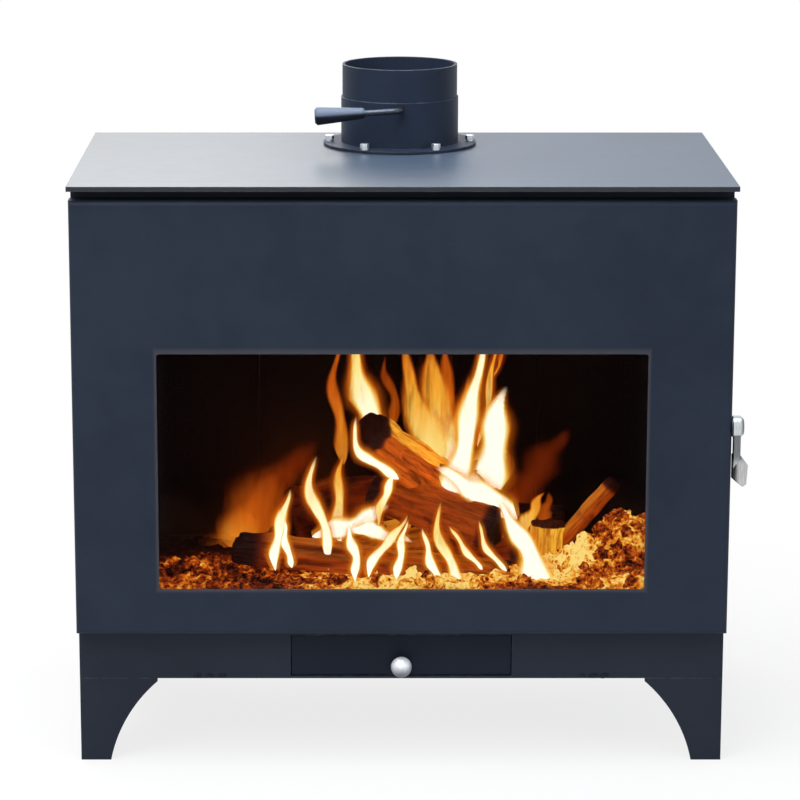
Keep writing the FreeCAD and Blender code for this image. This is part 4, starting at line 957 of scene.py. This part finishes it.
def make_coals():
    """Loose coals on the heaps, one lump modelled and copied."""
    draw = random.Random(COAL_SEED)
    lump = broken_coal()
    coals = []
    for (middle_x, middle_y), (reach_x, reach_y), top, _heat in HEAPS:
        reach = (reach_x * reach_y) ** 0.5
        for _number in range(round(COALS_A_REACH * reach * (COALS_LEAST + COALS_A_HEIGHT * top))):
            angle = draw.uniform(0, 2 * math.pi)
            out = draw.uniform(0, 1.0) ** COAL_EVENNESS * COAL_SPREAD
            x = middle_x + reach_x * out * math.cos(angle)
            y = middle_y + reach_y * out * math.sin(angle)
            radius = draw.uniform(*COAL_RADII)
            turn = [draw.uniform(0, COAL_TURN) for _axis in range(3)]
            if not on_bed(x, y, COAL_RADII[1]):
                continue
            coal = in_scene("coal", lump.data.copy())
            coal.location = (x, y, HEARTH + BED_DEPTH + heap_height(x, y) + radius * COAL_STANDS)
            coal.rotation_euler = turn
            coal.scale = (radius, radius, radius)
            set_place(coal)
            warm = heap_heat(x, y) * draw.uniform(*COAL_HEATS)
            store(coal, "fire_heat", [warm] * len(coal.data.vertices))
            coals.append(coal)
    bpy.data.objects.remove(lump)
    dress(join(coals), "loose_coals", EMBERS, "stove", smooth=60.0)


# Flames, in millimetres: depth, foot and tip (across, up), bow to the right, curl of the lower half to the
# right and the upper to the left, widest half width and where along it that is, heat at foot and tip, haze.
FLAMES = [
    (-70, (180, 174), (116, 314), 7, 0, 23, 0.18, 1.0, 1.0, 0.0),
    (-20, (150, 264), (36, 336), 5, 0, 18, 0.45, 1.0, 1.0, 0.0),
    (0, (66, 292), (110, 518), 3, 0, 20, 0.18, 1.0, 0.85, 0.0),
    (20, (108, 256), (143, 442), -7, 4, 26, 0.42, 1.0, 0.95, 0.0),
    (8, (50, 322), (146, 282), 8, 0, 22, 0.48, 1.0, 1.0, 0.15),
    (30, (99, 345), (130, 505), 1, 2, 5, 0.50, 0.85, 0.50, 0.1),
    (35, (119, 437), (124, 502), 9, 0, 3, 0.50, 0.50, 0.35, 0.1),
    (70, (82, 258), (62, 362), 0, 0, 26, 0.42, 1.0, 0.80, 0.4),
    (75, (66, 262), (2, 497), -5, 4, 29, 0.22, 0.95, 0.42, 0.3),
    (85, (74, 256), (42, 494), -6, 3, 36, 0.30, 0.95, 0.42, 0.3),
    (80, (78, 262), (88, 444), 0, -3, 28, 0.30, 1.0, 0.45, 0.3),
    (90, (60, 340), (60, 495), 2, 0, 14, 0.25, 0.42, 0.30, 0.5),
    (40, (-36, 338), (-59, 503), 0, 4, 21, 0.30, 1.0, 0.70, 0.0),
    (-65, (-28, 266), (-3, 342), -5, 0, 7, 0.55, 0.65, 1.0, 0.0),
    (-65, (-2, 328), (-54, 420), -23, 3, 8, 0.36, 1.0, 0.85, 0.0),
    (60, (-72, 316), (-68, 498), -13, 3, 11, 0.32, 0.55, 0.30, 0.6),
    (62, (-7, 362), (-18, 472), 0, 3, 9, 0.40, 0.36, 0.25, 0.7),
    (-60, (-91, 208), (-101, 370), -10, 7, 9, 0.50, 0.95, 0.80, 0.0),
    (-20, (-76, 230), (-69, 362), -7, 0, 9, 0.42, 1.0, 0.50, 0.2),
    (-70, (-158, 210), (-138, 326), -4, -3, 9, 0.45, 1.0, 0.80, 0.0),
    (-72, (-137, 214), (-146, 284), -3, 0, 6, 0.40, 1.0, 0.95, 0.0),
    (-40, (-112, 246), (-6, 292), 5, 0, 16, 0.50, 1.0, 0.95, 0.1),
    (-50, (-62, 258), (22, 238), -5, 0, 12, 0.42, 1.0, 0.90, 0.1),
    (-75, (-57, 196), (-69, 278), 4, 0, 8, 0.50, 1.0, 0.95, 0.0),
    (-76, (-40, 203), (11, 293), -2, -5, 8, 0.42, 1.0, 0.75, 0.0),
    (-78, (-5, 201), (11, 285), -2, 0, 7, 0.36, 1.0, 0.85, 0.0),
    (-74, (80, 176), (53, 315), -13, 3, 9, 0.34, 1.0, 0.65, 0.0),
    (-72, (53, 190), (26, 273), -3, 0, 7, 0.38, 1.0, 0.85, 0.0),
    (-70, (104, 211), (58, 274), -2, 0, 5, 0.40, 0.95, 0.75, 0.0),
    (-70, (135, 209), (98, 283), -9, 0, 5, 0.40, 0.95, 0.75, 0.0),
    (50, (161, 228), (192, 286), -3, 0, 11, 0.34, 0.75, 0.45, 0.3),
    (55, (187, 226), (195, 286), 0, 0, 13, 0.34, 0.40, 0.28, 0.8),
    (110, (4, 190), (9, 335), 0, 0, 54, 0.40, 0.58, 0.40, 1.0),
    (115, (-234, 156), (-140, 305), -8, 3, 36, 0.36, 0.70, 0.22, 1.0),
    (120, (-240, 140), (-90, 350), -14, 0, 54, 0.38, 0.52, 0.12, 1.0),
    (125, (-205, 146), (-66, 296), -6, 0, 46, 0.40, 0.48, 0.26, 1.0),
    (120, (150, 250), (232, 360), 0, 0, 32, 0.36, 0.26, 0.08, 1.0),
]
FLAME_STEPS = 28
FLAME_FLATNESS = 0.40
LEAST_WIDTH = 0.0004
# How full a flame is towards its ends, and how it flickers: the waves of its line, their share of its half
# width, which counts up to a most in millimetres, and the waves of its width. Each flame starts at another
# turn of them, by the place of its foot.
FLAME_FULLNESS = 0.8
FLICKER_WAVES = 3.2
FLICKER_SHARE = 0.26
FLICKER_MOST = 10.0
SWELL_WAVES = 5.0
SWELL_SHARE = 0.22
FLICKER_TURN = 0.37
# A halo's width over its flame's, as a share and in metres, its share of the heat, how far behind the flame
# it lies, how flat it is, and the haze from which a flame has none.
HALO_SPREAD = 1.4
HALO_REACH = 0.005
HALO_HEAT = 0.50
HALO_BEHIND = 0.004
HALO_FLATNESS = 0.06
HALO_HAZE = 0.25


def flame_line(foot, tip, bow, curl, half, widest, foot_heat, tip_heat):
    """Places up a flame, each with its half width and heat: pointed at both ends, swaying between them."""
    turn = foot[0] * FLICKER_TURN
    waver = min(half, FLICKER_MOST) * FLICKER_SHARE
    foot, tip = Vector(foot) * MILLIMETRE, Vector(tip) * MILLIMETRE
    side = Vector((tip.y - foot.y, foot.x - tip.x)).normalized() * MILLIMETRE
    swell = math.log(0.5) / math.log(widest)
    line = []
    for step in range(FLAME_STEPS + 1):
        t = step / FLAME_STEPS
        arch = math.sin(math.pi * t)
        sway = bow * arch + curl * math.sin(2 * math.pi * t)
        sway += waver * arch * math.sin(FLICKER_WAVES * math.pi * t + turn)
        x, z = foot.lerp(tip, t) + side * sway
        width = half * MILLIMETRE * max(math.sin(math.pi * t ** swell), 0.0) ** FLAME_FULLNESS
        width *= 1.0 + SWELL_SHARE * math.sin(SWELL_WAVES * math.pi * t + turn)
        line.append((x, z, max(width, LEAST_WIDTH), foot_heat + (tip_heat - foot_heat) * t))
    return line


def flame_tongue(depth, line, haze, flatness):
    """One flame: a tube along its line, as wide as the line says and flattened front to back."""
    spots = [(x, depth, z) for x, z, _half, _heat in line]
    piece, flame = new_curve(
        "flame_line", "POLY", spots, bevel_depth=1.0, bevel_resolution=4, use_fill_caps=True
    )
    for point, (_x, _z, half, _heat) in zip(flame.points, line):
        point.radius = half
    tongue = as_mesh(piece)
    ring = len(tongue.data.vertices) // len(line)
    along, across, heats = [], [], []
    for number, vertex in enumerate(tongue.data.vertices):
        place = min(number // ring, len(line) - 1)
        x, z, half, heat = line[place]
        before, after = line[max(place - 1, 0)], line[min(place + 1, len(line) - 1)]
        run = Vector((after[0] - before[0], after[1] - before[1])).normalized()
        out = run.x * (vertex.co.z - z) - run.y * (vertex.co.x - x)
        along.append(place / (len(line) - 1))
        across.append(max(-1.0, min(1.0, out / half)))
        heats.append(heat)
        vertex.co.y = depth + (vertex.co.y - depth) * flatness
    store(tongue, "along", along)
    store(tongue, "across", across)
    store(tongue, "fire_heat", heats)
    store(tongue, "soft", [haze] * len(along))
    return tongue


def halo_line(line):
    """The line of the faint glow round a flame."""
    return [(x, z, half * HALO_SPREAD + HALO_REACH, heat * HALO_HEAT) for x, z, half, heat in line]


def make_flames():
    """Every flame, and a glow behind each that is bright and sharp."""
    tongues = []
    for depth, foot, tip, bow, curl, half, widest, foot_heat, tip_heat, haze in FLAMES:
        line = flame_line(foot, tip, bow, curl, half, widest, foot_heat, tip_heat)
        tongues.append(flame_tongue(depth * MILLIMETRE, line, haze, FLAME_FLATNESS))
        if haze < HALO_HAZE:
            behind = depth * MILLIMETRE + HALO_BEHIND
            tongues.append(flame_tongue(behind, halo_line(line), 1.0, HALO_FLATNESS))
    dress(join(tongues), "flames", FLAME, "stove", smooth=180.0)


make_ember_bed()
make_coals()
make_logs()
make_flames()

# Welds

APRON_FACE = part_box("plinth_apron")[0].y
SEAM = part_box("plinth_apron")[0].z
BEAD_RADIUS = 0.0016
BEAD_SHAPE = (1.3, 0.55, 0.9)
BEAD_STEP = 0.0026
# Left and right end of each short weld where a leg meets the plinth.
WELDS = [(-0.390, -0.367), (0.368, 0.390)]
# Left end, right end and number of the dark lumps along the plinth's lower edge.
LUMP_ROWS = [(-0.252, -0.221, 3), (0.224, 0.251, 3)]
LUMP_RADIUS = 0.0036
# How far over the edge a lump lies, how far it may be turned, in radians, and its size in radii.
LUMP_RISE = LUMP_RADIUS * 0.9
LUMP_TURN = 0.3
LUMP_WIDTHS = (1.1, 1.7)
LUMP_DEPTH = 0.5
LUMP_HEIGHTS = (0.6, 0.9)
LUMP_SEED = 11


def make_welds():
    """Short tack welds where the legs meet the plinth: one ripple, copied along the seam."""
    ripple = new_mesh(
        bpy.ops.mesh.primitive_uv_sphere_add, segments=12, ring_count=8, radius=BEAD_RADIUS
    )
    edit_all(ripple, bpy.ops.transform.resize, value=BEAD_SHAPE)
    ripples = []
    for left, right in WELDS:
        count = round((right - left) / BEAD_STEP)
        for number in range(count + 1):
            copy = in_scene("ripple", ripple.data.copy())
            copy.location = (left + number * (right - left) / count, APRON_FACE, SEAM)
            set_place(copy)
            ripples.append(copy)
    bpy.data.objects.remove(ripple)
    dress(join(ripples), "tack_welds", FINISHES["body_paint"], "stove")


def make_lumps():
    """Dark lumps of weld on the plinth's lower edge, each turned another way."""
    draw = random.Random(LUMP_SEED)
    lump = new_mesh(bpy.ops.mesh.primitive_ico_sphere_add, subdivisions=3, radius=LUMP_RADIUS)
    roughen(lump, clouds("weld_rough", 0.003), 0.0016)
    lumps = []
    for left, right, count in LUMP_ROWS:
        for number in range(count):
            copy = in_scene("lump", lump.data.copy())
            across = left + (right - left) * number / (count - 1)
            copy.location = (across, APRON_FACE, SEAM + LUMP_RISE)
            copy.rotation_euler = (0.0, draw.uniform(-LUMP_TURN, LUMP_TURN), 0.0)
            copy.scale = (draw.uniform(*LUMP_WIDTHS), LUMP_DEPTH, draw.uniform(*LUMP_HEIGHTS))
            set_place(copy)
            lumps.append(copy)
    bpy.data.objects.remove(lump)
    dress(join(lumps), "weld_lumps", FINISHES["drawer_paint"], "stove")


make_welds()
make_lumps()

# Floor, light and camera

FLOOR_RADIUS = 6.0
FLOOR_DROP = 0.0004
# Share of plain white in the floor by the stove, and the distances between which it goes over to white.
FLOOR_WHITE = 0.80
WHITE_START, WHITE_END = 0.45, 1.25
WORLD_LIGHT = 0.30


def pale_floor(name):
    """Pale studio floor that keeps the stove's shadow and runs out into white."""
    f = Finish(name)
    x, y = f.axis("X"), f.axis("Y")
    away = (x * x + y * y) ** 0.5
    tone = f.mix(f.noise(0.4, 4.0), (0.70, 0.70, 0.70), (0.74, 0.74, 0.74))
    floor = f.node("ShaderNodeBsdfPrincipled", {}, {"Base Color": tone, "Roughness": 0.9})
    white = f.node("ShaderNodeEmission", {}, {"Color": (1.0, 1.0, 1.0, 1.0), "Strength": 1.0})
    share = f.seen() * (FLOOR_WHITE + away.rise(WHITE_START, WHITE_END) * (1.0 - FLOOR_WHITE))
    return f.show(f.node("ShaderNodeMixShader", {}, {0: share, 1: floor, 2: white}))


def make_floor():
    """Round floor under the stove."""
    floor = new_mesh(
        bpy.ops.mesh.primitive_circle_add, vertices=96, radius=FLOOR_RADIUS, fill_type="NGON",
        location=(0, 0, -FLOOR_DROP),
    )
    floor.name = "studio_floor"
    set_place(floor)
    floor.data.materials.append(pale_floor("pale_floor").material)


def make_world():
    """White all round to the eye and in reflections, soft grey as light."""
    f = Finish("studio", world=True)
    white = f.node("ShaderNodeBackground", {}, {"Color": (1.0, 1.0, 1.0, 1.0)})
    soft = f.node("ShaderNodeBackground", {}, {"Color": (0.93, 0.96, 1.0, 1.0), "Strength": WORLD_LIGHT})
    f.show(f.node("ShaderNodeMixShader", {}, {0: f.seen(), 1: soft, 2: white}))
    bpy.context.scene.world = f.material


def lamp(name, kind, spot, power, colour):
    """A light at a spot."""
    light = bpy.data.lights.new(name, kind)
    light.energy = power
    light.color = colour
    holder = in_scene(name, light)
    holder.location = spot
    return holder


def soft_lamp(name, spot, aim, size, power, colour):
    """A soft panel of light, aimed at a spot."""
    holder = lamp(name, "AREA", spot, power, colour)
    holder.data.shape = "RECTANGLE"
    holder.data.size, holder.data.size_y = size
    holder.rotation_mode = "QUATERNION"
    holder.rotation_quaternion = (Vector(aim) - Vector(spot)).to_track_quat("-Z", "Y")


FIRE_COLOUR = (1.0, 0.34, 0.07)
FIRE_SOFTNESS = 0.03


def fire_lamp(name, spot, power):
    """Firelight inside the firebox, which moves with the stove."""
    holder = lamp(name, "POINT", spot, power, FIRE_COLOUR)
    holder.data.shadow_soft_size = FIRE_SOFTNESS
    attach(holder, "stove")


def make_lights():
    """Studio panels over and beside the stove, and the light of its fire."""
    soft_lamp("key_panel", (-1.9, -2.6, 3.0), (0, 0, 0.62), (2.6, 2.0), 84.0, (1.0, 0.98, 0.96))
    soft_lamp("fill_panel", (3.0, -2.2, 1.6), (0, 0, 0.5), (2.0, 2.0), 20.0, (0.92, 0.96, 1.0))
    soft_lamp("rear_panel", (-1.1, 2.6, 2.2), (0, 0, 0.6), (2.4, 1.4), 46.0, (1.0, 0.935, 0.82))
    soft_lamp("top_panel", (-0.2, -0.35, 2.3), (0, -0.05, 0.76), (1.6, 1.6), 65.0, (0.92, 0.96, 1.0))
    fire_lamp("fire_glow", (0.085, 0.000, 0.345), 0.9)
    fire_lamp("ember_glow", (-0.130, 0.130, 0.275), 0.45)


CAMERA_PLACE = (-0.04853, -4.06639, 1.34528)
CAMERA_TILT = 77.12
CAMERA_LENS = 147.42
CAMERA_SENSOR = 36.0
CAMERA_SHIFT = 0.04759


def make_camera():
    """The camera at the photograph's viewing angle."""
    camera = bpy.data.cameras.new("photo_camera")
    camera.sensor_width = CAMERA_SENSOR
    camera.lens = CAMERA_LENS
    camera.shift_x = CAMERA_SHIFT
    holder = in_scene("photo_camera", camera)
    holder.location = CAMERA_PLACE
    holder.rotation_euler = (math.radians(CAMERA_TILT), 0.0, 0.0)
    bpy.context.scene.camera = holder


make_floor()
make_world()
make_lights()
make_camera()
bpy.context.scene.view_settings.view_transform = "Standard"
